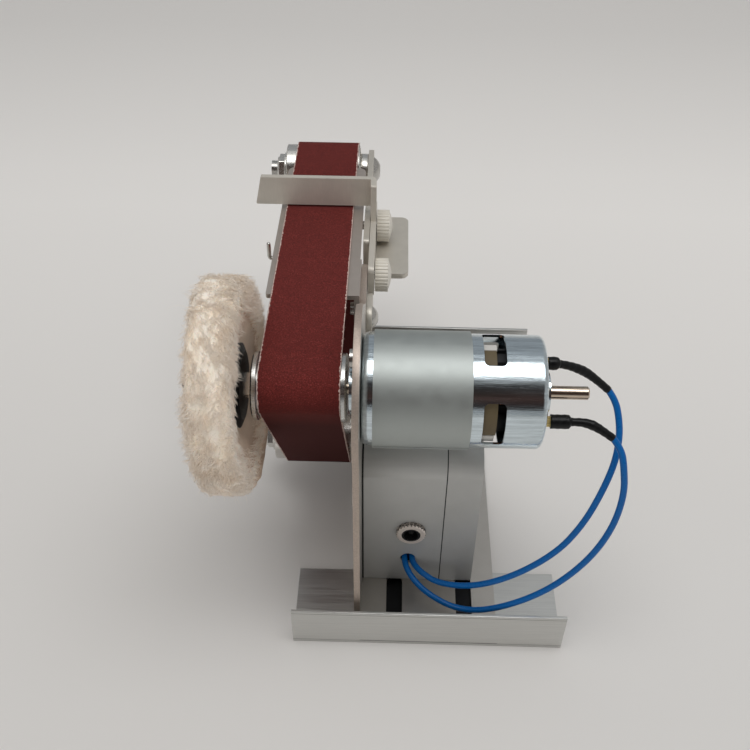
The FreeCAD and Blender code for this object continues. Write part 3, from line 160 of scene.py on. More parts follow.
class SanderColours(bpy.types.PropertyGroup):
    steel: colour("Stainless sheet", "Brushed sheet of the frame", (0.56, 0.53, 0.49))
    platen: colour("Platen", "Satin sheet behind the belt", (0.46, 0.41, 0.37))
    satin: colour("Satin sheet", "Sheet of the tool rest and the arm", (0.66, 0.62, 0.55))
    cut: colour("Cut edge", "Matte cut edge of the frame sheet", (0.55, 0.47, 0.41))
    aluminium: colour("Aluminium", "Feet and drive wheel", (0.62, 0.62, 0.60))
    zinc: colour("Motor can", "Bright plated steel of the motor can", (0.66, 0.745, 0.79))
    ring: colour("Motor sleeve", "Satin plated steel sleeve on the motor", (0.47, 0.50, 0.485))
    bright: colour("Bright steel", "Polished rollers, screws and nuts", (0.76, 0.74, 0.70))
    shaft: colour("Shaft", "Oiled steel of the motor's shaft", (0.66, 0.55, 0.44))
    nickel: colour("Nickel", "Ring nut of the power socket", (0.96, 0.86, 0.78))
    brass: colour("Brass", "Motor terminals", (0.95, 0.68, 0.28))
    copper: colour("Copper", "Motor windings and commutator", (0.72, 0.33, 0.18))
    grit: colour("Belt grit", "Abrasive side of the belt", (0.135, 0.020, 0.017))
    cloth: colour("Belt cloth", "Pale threads at the belt's cut edges", (0.62, 0.47, 0.42))
    wool: colour("Wool", "Fleece of the buffing wheel", (1.0, 0.93, 0.84))
    hide: colour("Wool backing", "Skin side of the buffing wheel", (0.80, 0.63, 0.49))
    black: colour("Black plastic", "Hub discs, socket, sleeves and switch", (0.012, 0.012, 0.013))
    cream: colour("Cream plastic", "Clamp knobs", (0.78, 0.74, 0.66))
    box: colour("Box", "Satin grey metal of the control box", (0.53, 0.53, 0.51))
    blue: colour("Lead blue", "Insulation of the two leads", (0.0, 0.11, 0.37))
    card: colour("Insulating card", "Card round the motor's brushes", (0.12, 0.09, 0.045))


class StudioSettings(bpy.types.PropertyGroup):
    camera_place: FloatVectorProperty(name="Camera place", description="Where the camera stands",
                                      default=(0.009909, -0.254174, 0.364646), subtype="TRANSLATION")
    camera_down: slant("Camera tilt", "How far the camera looks down", 43.1003)
    camera_turn: slant("Camera turn", "How far the camera looks to the left", 1.1393)
    camera_roll: slant("Camera roll", "How far the camera leans", 0.5319)
    camera_lens: FloatProperty(name="Camera lens", description="Focal length for a 36 mm frame",
                               default=45.87, unit="CAMERA")
    floor: colour("Floor", "Pale paper under the sander", (0.80, 0.78, 0.755))
    side_tone: colour("Tent sides", "White walls of the tent to the left and right", (0.66, 0.65, 0.64))
    dome_strength: FloatProperty(name="Dome", description="Brightness of the tent", default=0.62, min=0)


def toned(base, share):
    """A colour made darker or lighter, never above 1."""
    return tuple(min(1.0, c * share) for c in base)


class Graph:
    """A node tree, with short calls for the nodes that the finishes and the tent share."""

    def __init__(self, tree):
        self.nodes = tree.nodes
        self.links = tree.links

    def feed(self, socket, value):
        """Give a socket a value that is the same all over, or link one that varies."""
        if isinstance(value, bpy.types.NodeSocket):
            self.links.new(value, socket)
        elif socket.type == "RGBA":
            socket.default_value = (*value, 1)
        else:
            socket.default_value = value

    def add(self, kind, **settings):
        node = self.nodes.new(kind)
        for key, value in settings.items():
            setattr(node, key, value)
        return node

    def axes(self, output="Object"):
        """X, Y and Z of the place in metres, or of the direction that another output gives."""
        source = self.add("ShaderNodeTexCoord")
        split = self.add("ShaderNodeSeparateXYZ")
        self.links.new(source.outputs[output], split.inputs["Vector"])
        return split.outputs

    def noise(self, grain, stretch=(1, 1, 1), detail=3.0, roughness=0.55):
        """Noise whose features are about grain metres wide, stretched along the piece's axes."""
        source = self.add("ShaderNodeTexCoord")
        mapping = self.add("ShaderNodeMapping")
        mapping.inputs["Scale"].default_value = stretch
        self.links.new(source.outputs["Object"], mapping.inputs["Vector"])
        node = self.add("ShaderNodeTexNoise")
        node.inputs["Scale"].default_value = 1 / grain
        node.inputs["Detail"].default_value = detail
        node.inputs["Roughness"].default_value = roughness
        self.links.new(mapping.outputs["Vector"], node.inputs["Vector"])
        return node.outputs["Fac"]

    def spread(self, value, low, high, start=0.3, end=0.7):
        """Value taken from start..end to low..high."""
        node = self.add("ShaderNodeMapRange")
        for socket, size in zip(("From Min", "From Max", "To Min", "To Max"), (start, end, low, high)):
            node.inputs[socket].default_value = size
        self.links.new(value, node.inputs["Value"])
        return node.outputs["Result"]

    def blend(self, factor, first, second):
        """Mix of two colours, each a colour or a link."""
        node = self.add("ShaderNodeMix", data_type="RGBA")
        self.links.new(factor, node.inputs["Factor"])
        colours = [socket for socket in node.inputs if socket.type == "RGBA"]
        for socket, value in zip(colours, (first, second)):
            self.feed(socket, value)
        return next(socket for socket in node.outputs if socket.type == "RGBA")

    def tint(self, factor, base, dark, light):
        """Base colour varied between dark and light times itself."""
        return self.blend(factor, toned(base, dark), toned(base, light))

    def math(self, operation, first, second=0.0):
        node = self.add("ShaderNodeMath", operation=operation)
        for socket, value in zip(node.inputs, (first, second)):
            self.feed(socket, value)
        return node.outputs[0]

    def off(self, value, middle):
        """Distance between a value and the middle."""
        return self.math("ABSOLUTE", self.math("SUBTRACT", value, middle))

    def near(self, value, middle, half):
        """1 where the value lies within half of the middle, else 0."""
        return self.math("LESS_THAN", self.off(value, middle), half)


class Look(Graph):
    """One material, with its node graph and its shader."""

    def __init__(self, name, **values):
        self.material = bpy.data.materials.new(name)
        self.material.use_nodes = True
        super().__init__(self.material.node_tree)
        self.put(**values)

    def put(self, **values):
        """Feed the shader's sockets, which are named here in small letters with low lines."""
        inputs = self.nodes["Principled BSDF"].inputs
        sockets = {socket.name.lower().replace(" ", "_"): socket for socket in inputs}
        for name, value in values.items():
            self.feed(sockets[name], value)

    def done(self, tone, roughness, height, depth, strength=1.0):
        """Feed what varies over the surface, with a relief of some depth, and give the material."""
        node = self.add("ShaderNodeBump")
        node.inputs["Distance"].default_value = depth
        node.inputs["Strength"].default_value = strength
        self.links.new(height, node.inputs["Height"])
        self.put(base_color=tone, roughness=roughness, normal=node.outputs["Normal"])
        return self.material


def brushed_metal(name, base, grain, roughness, streak=0.12, edge=None, metallic=1.0):
    """Metal with fine lines along X, Y or Z; a sheet's cut edges can have a matte colour."""
    look = Look(name, metallic=metallic)
    stretch = [1.0, 1.0, 1.0]
    stretch["XYZ".index(grain)] = 0.02
    lines = look.noise(0.25 * MM, stretch, detail=4.0, roughness=0.7)
    clouds = look.noise(9 * MM, detail=2.0)
    fresh = look.tint(lines, base, 1 - streak, 1 + streak)
    tone = look.blend(look.spread(clouds, 0.0, 0.5), fresh, toned(base, 0.85))
    rough = look.math("ADD", look.spread(lines, -0.05, 0.07),
                      look.spread(clouds, roughness - 0.03, roughness + 0.04))
    if edge is not None:
        upright = look.near(look.axes("Normal")["X"], 0.0, 0.5)
        above_feet = look.math("GREATER_THAN", look.axes()["Z"], 6 * MM)
        cut = look.math("MULTIPLY", upright, above_feet)
        matte = look.tint(look.noise(0.6 * MM, roughness=0.7), edge, 0.7, 1.3)
        tone = look.blend(cut, tone, matte)
        rough = look.math("ADD", rough, look.math("MULTIPLY", cut, 0.22))
    return look.done(tone, rough, lines, 0.0012 * MM)


def smooth_metal(name, base, roughness, mark=0.05):
    """Turned or plated metal with faint clouds and fine pits."""
    look = Look(name, metallic=1.0)
    clouds = look.noise(4 * MM)
    pits = look.noise(0.3 * MM, detail=2.0)
    rough = look.math("ADD", look.spread(clouds, roughness - 0.03, roughness + 0.03),
                      look.spread(pits, -0.02, 0.03))
    return look.done(look.tint(clouds, base, 1 - mark, 1 + mark), rough, pits, 0.002 * MM)


def plated_can(name, base):
    """Bright plating with soft lines along the drawn can."""
    look = Look(name, metallic=1.0)
    lines = look.noise(1.6 * MM, (0.05, 1, 1), detail=6.0, roughness=0.8)
    clouds = look.noise(5 * MM, (0.4, 1, 1), detail=4.0)
    specks = look.noise(0.4 * MM, (0.15, 1, 1), detail=2.0)
    tone = look.tint(look.spread(lines, 0.0, 1.0, 0.36, 0.62), base, 0.74, 1.14)
    rough = look.math("ADD", look.spread(clouds, 0.08, 0.13), look.spread(lines, -0.02, 0.07))
    relief = look.math("ADD", look.math("MULTIPLY", lines, 0.7), look.math("MULTIPLY", specks, 0.2))
    return look.done(tone, rough, relief, 0.06 * MM)


def moulded(name, base, roughness, grain=0.35 * MM, depth=0.01 * MM, spots=0.04, shine=0.5):
    """Moulded plastic, card or hide with a fine skin."""
    look = Look(name, specular_ior_level=shine)
    skin = look.noise(grain)
    tone = look.tint(look.noise(7 * MM, detail=2.0), base, 1 - spots, 1 + spots)
    return look.done(tone, look.spread(skin, roughness - 0.05, roughness + 0.06), skin, depth)


def grit_belt(name, grit, cloth):
    """Sandpaper: grains and small bright specks, pale cloth on the cut edges, painted shade low down."""
    look = Look(name, specular_ior_level=0.22)
    low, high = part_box("abrasive_belt")
    place = look.axes()
    grains = look.noise(0.5 * MM, roughness=0.75)
    specks = look.noise(0.3 * MM, detail=0.0)
    mottled = look.tint(look.spread(grains, 0.0, 1.0, 0.35, 0.65), grit, 0.5, 1.5)
    surface = look.blend(look.spread(look.noise(3.5 * MM), 0.0, 0.45), mottled, toned(grit, 0.75))
    spark = tuple(min(1.0, c * 2.4 + 0.02) for c in grit)
    surface = look.blend(look.spread(specks, 0.0, 0.8, 0.7, 0.78), surface, spark)
    # Painted shade: the belt's colour is darkened below these heights
    surface = look.blend(look.spread(place["Z"], 1.0, 0.0, *BELT_PAINTED_SHADE), surface, toned(grit, 0.42))
    side = look.math("GREATER_THAN", look.off(look.axes("Normal")["X"], 0.0), 0.6)
    ragged = look.math("ADD", look.off(place["X"], (low.x + high.x) / 2),
                       look.spread(look.noise(1.1 * MM), -0.3 * MM, 0.3 * MM))
    frayed = look.math("GREATER_THAN", ragged, (high.x - low.x) / 2 - 0.3 * MM)
    tone = look.blend(look.math("MAXIMUM", side, frayed), surface, cloth)
    return look.done(tone, look.spread(grains, 0.8, 0.95), grains, 0.08 * MM, 0.8)


def fleece(name, base):
    """Wool with warm patches and dark fibres, which lets some light through and has a faint painted glow."""
    # The faint warm emission is a painted glow that brightens the wool; it is no lamp
    look = Look(name, subsurface_weight=0.35, subsurface_radius=(1.0, 0.8, 0.65),
                subsurface_scale=1.5 * MM, emission_color=(1.0, 0.80, 0.62), emission_strength=0.045,
                sheen_weight=0.25, sheen_roughness=0.5)
    fibres = look.noise(0.5 * MM)
    warm = (base[0], base[1] * 0.9, base[2] * 0.78)
    patched = look.blend(look.spread(look.noise(6 * MM, detail=4.0), 0.0, 0.7), base, warm)
    tone = look.blend(look.spread(fibres, 0.0, 0.2), patched, toned(base, 0.88))
    return look.done(tone, 0.85, fibres, 0.4 * MM, 0.6)


def paint(material, *nodes):
    """Give CAD nodes their look."""
    for node in nodes:
        slots = frame["nodes"][node].data.materials
        slots.clear()
        slots.append(material)


def soften_edges(width, *nodes):
    """Round the sharp edges of CAD nodes with modifiers, so that they catch the light."""
    for node in nodes:
        piece = frame["nodes"][node]
        weld = piece.modifiers.new("weld", "WELD")
        weld.merge_threshold = 0.002 * MM
        bevel = piece.modifiers.new("round", "BEVEL")
        bevel.width = width
        bevel.segments = 2
        bevel.limit_method = "ANGLE"
        bevel.angle_limit = math.radians(40)
        bevel.use_clamp_overlap = True
        bevel.harden_normals = True


def placed(name, data):
    """New object in the scene."""
    piece = bpy.data.objects.new(name, data)
    bpy.context.scene.collection.objects.link(piece)
    return piece


def mesh_piece(name, shape, material, body, smooth=True):
    """New piece from a shape's points and faces, riding on a body."""
    points, faces = shape
    mesh = bpy.data.meshes.new(name)
    mesh.from_pydata(points, [], faces)
    mesh.validate()
    if smooth:
        mesh.shade_smooth()
    mesh.materials.append(material)
    piece = placed(name, mesh)
    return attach(piece, body)


def round_axis(x, radius, angle):
    """Place round the motor's axis; the angle runs from the top towards the front."""
    return (x, AXIS_Y - radius * math.sin(angle), AXIS_Z + radius * math.cos(angle))


def grid_faces(rows, steps, bands, spans):
    """Faces between rows of points; a way that closes has as many bands as rows, or spans as steps."""
    faces = []
    for i in range(bands):
        here = i * steps
        there = (i + 1) % rows * steps
        for k in range(spans):
            after = (k + 1) % steps
            faces.append((here + k, here + after, there + after, there + k))
    return faces


def tube_faces(rows, sides):
    """Faces of a tube through rows of points, closed at both ends."""
    last = (rows - 1) * sides
    ends = [tuple(range(sides - 1, -1, -1)), tuple(range(last, last + sides))]
    return grid_faces(rows, sides, rows - 1, sides) + ends


def nurbs_curve(name, route, radius):
    """Curve with one open NURBS spline that has the route as its control points."""
    curve = bpy.data.curves.new(name, "CURVE")
    curve.dimensions = "3D"
    spline = curve.splines.new("NURBS")
    spline.points.add(len(route) - 1)
    for point, place in zip(spline.points, route):
        point.co = (*place, 1)
    spline.order_u = 3
    spline.use_endpoint_u = True
    spline.resolution_u = 10
    curve.bevel_depth = radius
    curve.bevel_resolution = 5
    curve.use_fill_caps = True
    return curve


def nurbs_points(route):
    """Points along the smooth spline that has the route as its control points, 16 to a span."""
    curve = nurbs_curve("route", route, 0.0)
    curve.splines[0].resolution_u = 16
    holder = placed("route", curve)
    bpy.context.view_layer.update()
    mesh = bpy.data.meshes.new_from_object(holder.evaluated_get(bpy.context.evaluated_depsgraph_get()))
    points = [v.co.copy() for v in mesh.vertices]
    bpy.data.objects.remove(holder)
    bpy.data.curves.remove(curve)
    bpy.data.meshes.remove(mesh)
    return points


def swept_tube(path, radii, sides):
    """Points and faces of a tube along path; radii has one value per point."""
    points = []
    side = Vector((0, 0, 1))
    for i, here in enumerate(path):
        along = (path[min(i + 1, len(path) - 1)] - path[max(i - 1, 0)]).normalized()
        side = (side - along * side.dot(along)).normalized()
        other = along.cross(side)
        for k in range(sides):
            angle = CIRCLE * k / sides
            points.append(here + (side * math.cos(angle) + other * math.sin(angle)) * radii[i])
    return points, tube_faces(len(path), sides)


def unit(rows):
    """Rows of directions, each brought to length 1."""
    return rows / np.maximum(np.linalg.norm(rows, axis=1, keepdims=True), 1e-9)


def strand_mesh(roots, tips, lean, radius, rings=3):
    """Points and faces of many thin tapered three-sided strands, each bent by lean."""
    sides = 3
    taper = 0.7
    along = unit(tips - roots)
    guide = np.where(np.abs(along[:, :1]) < 0.9, np.array([[1.0, 0, 0]]), np.array([[0, 1.0, 0]]))
    side = unit(np.cross(along, guide))
    other = np.cross(along, side)
    layers = []
    for ring in range(rings):
        t = ring / rings
        centre = roots + (tips - roots) * t + lean * (4 * t * (1 - t))
        width = radius[:, None] * (1 - t) ** taper
        for k in range(sides):
            angle = CIRCLE * k / sides
            layers.append(centre + (side * math.cos(angle) + other * math.sin(angle)) * width)
    layers.append(tips)
    points = np.stack(layers, axis=1).reshape(-1, 3)
    tip = rings * sides
    pattern = []
    for a, b, c, d in grid_faces(rings, sides, rings - 1, sides):
        pattern += [(a, b, c), (a, c, d)]
    for k in range(sides):
        pattern.append((tip - sides + k, tip - sides + (k + 1) % sides, tip))
    pattern.append((0, 2, 1))
    faces = (np.arange(len(roots))[:, None, None] * (tip + 1) + np.array(pattern)[None]).reshape(-1, 3)
    return points.tolist(), faces.tolist()


def waves(angle, turns, seed):
    """Smooth closed random wave round a circle, about -1 to 1."""
    source = np.random.default_rng(seed)
    total = np.zeros_like(angle)
    for k in range(1, turns + 1):
        total += source.normal(0, 1 / math.sqrt(k)) * np.cos(k * angle + source.uniform(0, CIRCLE))
    usual_height = 2.2
    return total / usual_height


def wheel_lean(angle, radius):
    """How far the soft wheel leans to the left at the top and to the right at the bottom."""
    farthest = 1.8 * MM
    share = np.clip((radius - HUB_RADIUS) / (24 * MM), 0, 1)
    return -farthest * np.cos(angle) * share


class SANDER_OT_set_stage(bpy.types.Operator):
    """Pale floor, white tent with a dark front, two soft lamps and the photograph's camera"""
    bl_idname = "sander.set_stage"
    bl_label = "Set the stage"

    def execute(self, context):
        studio = context.scene.sander_studio
        self.make_floor(studio)
        self.make_tent(studio)
        self.make_lamp("soft_lamp", (0.12, -0.05, 0.95), size=(0.9, 0.38), watts=2.7)
        front = self.make_lamp("front_lamp", (-0.1, -1.0, 0.45), size=(1.2, 0.6), watts=2.1, tilt=72)
        front.visible_glossy = False
        self.make_camera(studio)
        context.scene.view_settings.view_transform = "Standard"
        return {"FINISHED"}

    def make_floor(self, studio):
        look = Look("pale_paper", roughness=0.75, specular_ior_level=0.2)
        along = look.axes()["Y"]
        # Painted light and shade: the floor's colour is graded along Y, dimmer in front, brightest behind
        # the sander and a little dimmer far back
        front, middle, far = [look.spread(along, *tone) for tone in FLOOR_PAINTED_LIGHT]
        shade = look.math("ADD", look.math("ADD", front, middle), far)
        look.put(base_color=look.tint(shade, studio.floor, 0.0, 1.2))
        mesh = bpy.data.meshes.new("floor")
        corners = [(x * FLOOR_HALF, y * FLOOR_HALF, 0) for x, y in ((-1, -1), (1, -1), (1, 1), (-1, 1))]
        mesh.from_pydata(corners, [], [(0, 1, 2, 3)])
        mesh.materials.append(look.material)
        placed("floor", mesh)

    def make_tent(self, studio):
        """World light as in a white tent: bright above, grey behind and at the sides, dark in front."""
        world = bpy.data.worlds.new("tent")
        bpy.context.scene.world = world
        world.use_nodes = True
        tent = Graph(world.node_tree)
        way = tent.axes("Generated")
        turn = tent.spread(tent.math("ARCTAN2", way["Z"], way["Y"]), 0.0, 1.0, 0.0, math.pi)
        ramp = tent.add("ShaderNodeValToRGB")
        ramp.color_ramp.interpolation = "EASE"
        tent.links.new(turn, ramp.inputs["Fac"])
        elements = ramp.color_ramp.elements
        while len(elements) < len(TENT_STOPS):
            elements.new(0.5)
        for element, (position, tone) in zip(elements, TENT_STOPS):
            element.position = position
            element.color = (*tone, 1)
        sides = tent.spread(tent.math("ABSOLUTE", way["X"]), 0.0, 1.0, *TENT_SIDES)
        background = tent.nodes["Background"].inputs
        tent.feed(background["Color"], tent.blend(sides, ramp.outputs["Color"], studio.side_tone))
        tent.feed(background["Strength"], studio.dome_strength)

    def make_lamp(self, name, place, size, watts, tilt=0):
        """Oblong lamp that looks down, or tilted towards the back by some degrees."""
        lamp = bpy.data.lights.new(name, "AREA")
        lamp.shape = "RECTANGLE"
        lamp.size, lamp.size_y = size
        lamp.energy = watts
        holder = placed(name, lamp)
        holder.location = place
        holder.rotation_euler = (math.radians(tilt), 0, 0)
        return holder

    def make_camera(self, studio):
        down = studio.camera_down
        turn = -studio.camera_turn
        ahead = Vector((math.sin(turn) * math.cos(down), math.cos(turn) * math.cos(down), -math.sin(down)))
        camera = bpy.data.cameras.new("camera")
        camera.sensor_width = 36
        camera.lens = studio.camera_lens
        holder = placed("camera", camera)
        holder.rotation_mode = "QUATERNION"
        roll = Quaternion((0, 0, 1), studio.camera_roll)
        holder.rotation_quaternion = ahead.to_track_quat("-Z", "Y") @ roll
        holder.location = studio.camera_place
        bpy.context.scene.camera = holder


class SANDER_OT_make_leads(bpy.types.Operator):
    """Two blue leads and their black shrunk sleeves"""
    bl_idname = "sander.make_leads"
    bl_label = "Make leads and sleeves"

    def execute(self, context):
        radius = context.scene.sander_sizes.lead_radius
        colours = context.scene.sander_colours
        blue = moulded("lead_blue", colours.blue, 0.3, grain=0.8 * MM, shine=0.3)
        black = moulded("sleeve_black", toned(colours.black, 0.4), 0.34, grain=1.1 * MM, depth=0.12 * MM,
                        shine=0.25)
        for sleeve in SLEEVES:
            self.make_sleeve(black, *sleeve)
        for lead in LEADS:
            self.make_lead(blue, radius, *lead)
        return {"FINISHED"}

    def make_lead(self, material, radius, name, node, route, real_length):
        curve = nurbs_curve(name, route, radius)
        curve.materials.append(material)
        piece = placed(name, curve)
        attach(piece, "root")
        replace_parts(piece, node)

    def make_sleeve(self, material, name, node, side, grip, grip_radius, bends, lead, seed):
        """Sleeve from the terminal tab to the lead, with a neck and a bulge where it has shrunk."""
        offset = side * TERMINAL_RADIUS / math.sqrt(2)
        start = Vector((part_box(node)[0].x, AXIS_Y + offset, AXIS_Z + offset))
        straight = [start + Vector((grip * share, 0, 0)) for share in (0.0, 0.5, 1.0)]
        path = nurbs_points([*straight, *bends, lead[0]])
        travelled = np.cumsum([0.0] + [(b - a).length for a, b in zip(path, path[1:])])
        phase = np.random.default_rng(seed).uniform(0, CIRCLE)
        radii = [self.sleeve_radius(at, travelled[-1], grip, grip_radius, phase) for at in travelled]
        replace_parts(mesh_piece(name, swept_tube(path, radii, 20), material, "root"), node)

    def sleeve_radius(self, at, total, grip, grip_radius, phase):
        """Radius of a shrunk sleeve at a distance along it."""
        neck = 1.55 * MM
        bulge = 1.85 * MM
        bulge_at = 0.45
        bulge_width = 0.22
        end = 1.5 * MM
        taper = 1.2 * MM
        ripple = 0.05 * MM * math.sin(CIRCLE * at / (2.6 * MM) + phase)
        if at < grip:
            return grip_radius + ripple
        if at < grip + taper:
            share = (at - grip) / taper
            return grip_radius + (neck - grip_radius) * (3 * share ** 2 - 2 * share ** 3) + ripple
        share = (at - grip - taper) / (total - grip - taper)
        swell = (bulge - neck) * math.exp(-((share - bulge_at) / bulge_width) ** 2)
        return neck + (end - neck) * share + swell + ripple


class SANDER_OT_dress_frame(bpy.types.Operator):
    """Brushed sheet, aluminium feet, platen, hook and all small screws"""
    bl_idname = "sander.dress_frame"
    bl_label = "Dress frame and feet"

    def execute(self, context):
        colours = context.scene.sander_colours
        paint(brushed_metal("frame_sheet", colours.steel, "Z", 0.36, edge=colours.cut), "main_frame")
        paint(brushed_metal("platen_sheet", colours.platen, "Y", 0.42, 0.08, metallic=0.6), "platen")
        paint(self.foot_finish(colours.aluminium), "front_foot", "rear_foot")
        paint(smooth_metal("screw_steel", toned(colours.bright, 0.75), 0.24, mark=0.12), "foot_screws",
              "platen_screws", "side_hook", "stop_screw", "box_screws", "motor_screws", "grub_screw")
        edge = context.scene.sander_sizes.edge_round
        soften_edges(edge, "front_foot", "rear_foot", "main_frame", "platen")
        return {"FINISHED"}

    def foot_finish(self, base):
        """Brushed aluminium with fine lines, painted shade under the flange, and painted shade as thin dark
        lines along the wall's rim and foot.
        """
        look = Look("foot_aluminium", metallic=1.0)
        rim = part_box("front_foot")[1].z
        half_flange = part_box("main_frame")[1].x / 2
        place = look.axes()
        lines = look.noise(0.45 * MM, (0.02, 1, 1), detail=4.0, roughness=0.7)
        # Painted shade: two thin dark lines stand in for grooves along the rim and the foot
        rim_groove_shade = look.near(place["Z"], rim - 1.3 * MM, 0.16 * MM)
        foot_crease_shade = look.near(place["Z"], 1.7 * MM, 0.16 * MM)
        streaks = look.tint(look.spread(lines, 0.0, 1.0), base, 0.9, 1.07)
        tone = look.blend(look.math("MAXIMUM", rim_groove_shade, foot_crease_shade), streaks, toned(base, 0.45))
        # Painted shade: the web is near black where the flange covers it, as seen through the slots
        shade_under_flange = look.math("MULTIPLY", look.near(place["X"], half_flange, half_flange),
                            look.near(place["Z"], 2.0 * MM, 0.1 * MM))
        tone = look.blend(shade_under_flange, tone, (0.03, 0.03, 0.032))
        return look.done(tone, look.spread(lines, 0.32, 0.5), lines, 0.002 * MM)


class SANDER_OT_dress_arm(bpy.types.Operator):
    """Sliding arm, tool rest, stop and the two cream clamp knobs"""
    bl_idname = "sander.dress_arm"
    bl_label = "Dress arm, rest and knobs"

    def execute(self, context):
        colours = context.scene.sander_colours
        edge = context.scene.sander_sizes.edge_round
        paint(brushed_metal("rest_sheet", colours.satin, "Z", 0.5, 0.16, metallic=0.45), "tool_rest")
        arm = brushed_metal("arm_sheet", colours.satin, "Y", 0.45, 0.08, metallic=0.6)
        paint(arm, "arm_plate", "arm_stop")
        paint(moulded("knob_cream", colours.cream, 0.42), "rest_knob", "arm_knob")
        paint(smooth_metal("clamp_screw_steel", colours.bright, 0.22), "rest_knob_screw", "arm_knob_screw")
        soften_edges(edge, "tool_rest", "arm_plate", "arm_stop")
        soften_edges(edge / 2, "rest_knob", "arm_knob")
        return {"FINISHED"}


class SANDER_OT_dress_rollers(bpy.types.Operator):
    """Drive wheel, rollers, bearings, axles, washers and nuts"""
    bl_idname = "sander.dress_rollers"
    bl_label = "Dress wheels and rollers"

    def execute(self, context):
        colours = context.scene.sander_colours
        bright = smooth_metal("roller_steel", colours.bright, 0.24)
        dull = smooth_metal("axle_steel", toned(colours.bright, 0.68), 0.26, mark=0.12)
        for side in ("upper", "lower"):
            paint(bright, side + "_roller", side + "_spacers", side + "_nut", side + "_bearings")
            paint(dull, side + "_axle")
            soften_edges(0.4 * MM, side + "_nut")
            soften_edges(0.2 * MM, side + "_spacers")
        paint(brushed_metal("turned_aluminium", colours.aluminium, "X", 0.25, 0.06), "drive_wheel")
        paint(bright, "arbor", "buff_nut")
        return {"FINISHED"}


class SANDER_OT_dress_motor(bpy.types.Operator):
    """Bright can, satin sleeve, brass terminals and what shows through the windows"""
    bl_idname = "sander.dress_motor"
    bl_label = "Dress the motor"

    def execute(self, context):
        colours = context.scene.sander_colours
        paint(plated_can("can_zinc", colours.zinc), "motor_can", "motor_end_cap")
        paint(smooth_metal("sleeve_zinc", colours.ring, 0.55, mark=0.06), "flux_ring")
        paint(brushed_metal("terminal_brass", colours.brass, "X", 0.3, 0.2, metallic=0.45), "terminals")
        paint(brushed_metal("shaft_steel", colours.shaft, "X", 0.16, 0.06), "motor_shaft", "motor_bearings")
        paint(brushed_metal("winding_copper", colours.copper, "X", 0.3), "windings", "commutator")
        paint(brushed_metal("core_laminations", colours.steel, "Y", 0.45), "armature_core")
        paint(moulded("motor_black", colours.black, 0.4), "brush_plate")
        paint(moulded("magnet_ferrite", (0.03, 0.03, 0.032), 0.6), "magnets")
        paint(moulded("brush_carbon", (0.025, 0.025, 0.027), 0.5), "brushes")
        self.make_card(colours)
        return {"FINISHED"}

    def make_card(self, colours):
        """Card and white strips inside the can, behind the windows."""
        card = moulded("insulating_card", colours.card, 0.6, grain=1.2 * MM)
        strip = moulded("white_strip", (0.62, 0.6, 0.56), 0.45)
        for name, width, first, last in (("card_upper", 0.0052, -3, 40), ("card_lower", 0.0056, 55, 103)):
            self.make_panel("insulating_" + name, card, "black_plastic", 0.0183, width, first, last)
        for name, width, first, last in (("upper", 0.0054, -13, -3), ("lower", 0.0052, 104, 116)):
            self.make_panel("window_strip_" + name, strip, "white_plastic", 0.0186, width, first, last)

    def make_panel(self, name, material, slot, inner, width, first, last):
        """Piece of a tube round the motor's axis; angles in degrees from the top towards the front."""
        steps = 24
        outer = inner + 0.6 * MM
        right = WINDOW_LEFT + width
        corners = [(WINDOW_LEFT, inner), (right, inner), (right, outer), (WINDOW_LEFT, outer)]
        points = []
        for i in range(steps + 1):
            angle = math.radians(first + (last - first) * i / steps)
            points += [round_axis(x, radius, angle) for x, radius in corners]
        shape = (points, tube_faces(steps + 1, len(corners)))
        mesh_piece(name, shape, material, "root", smooth=False)


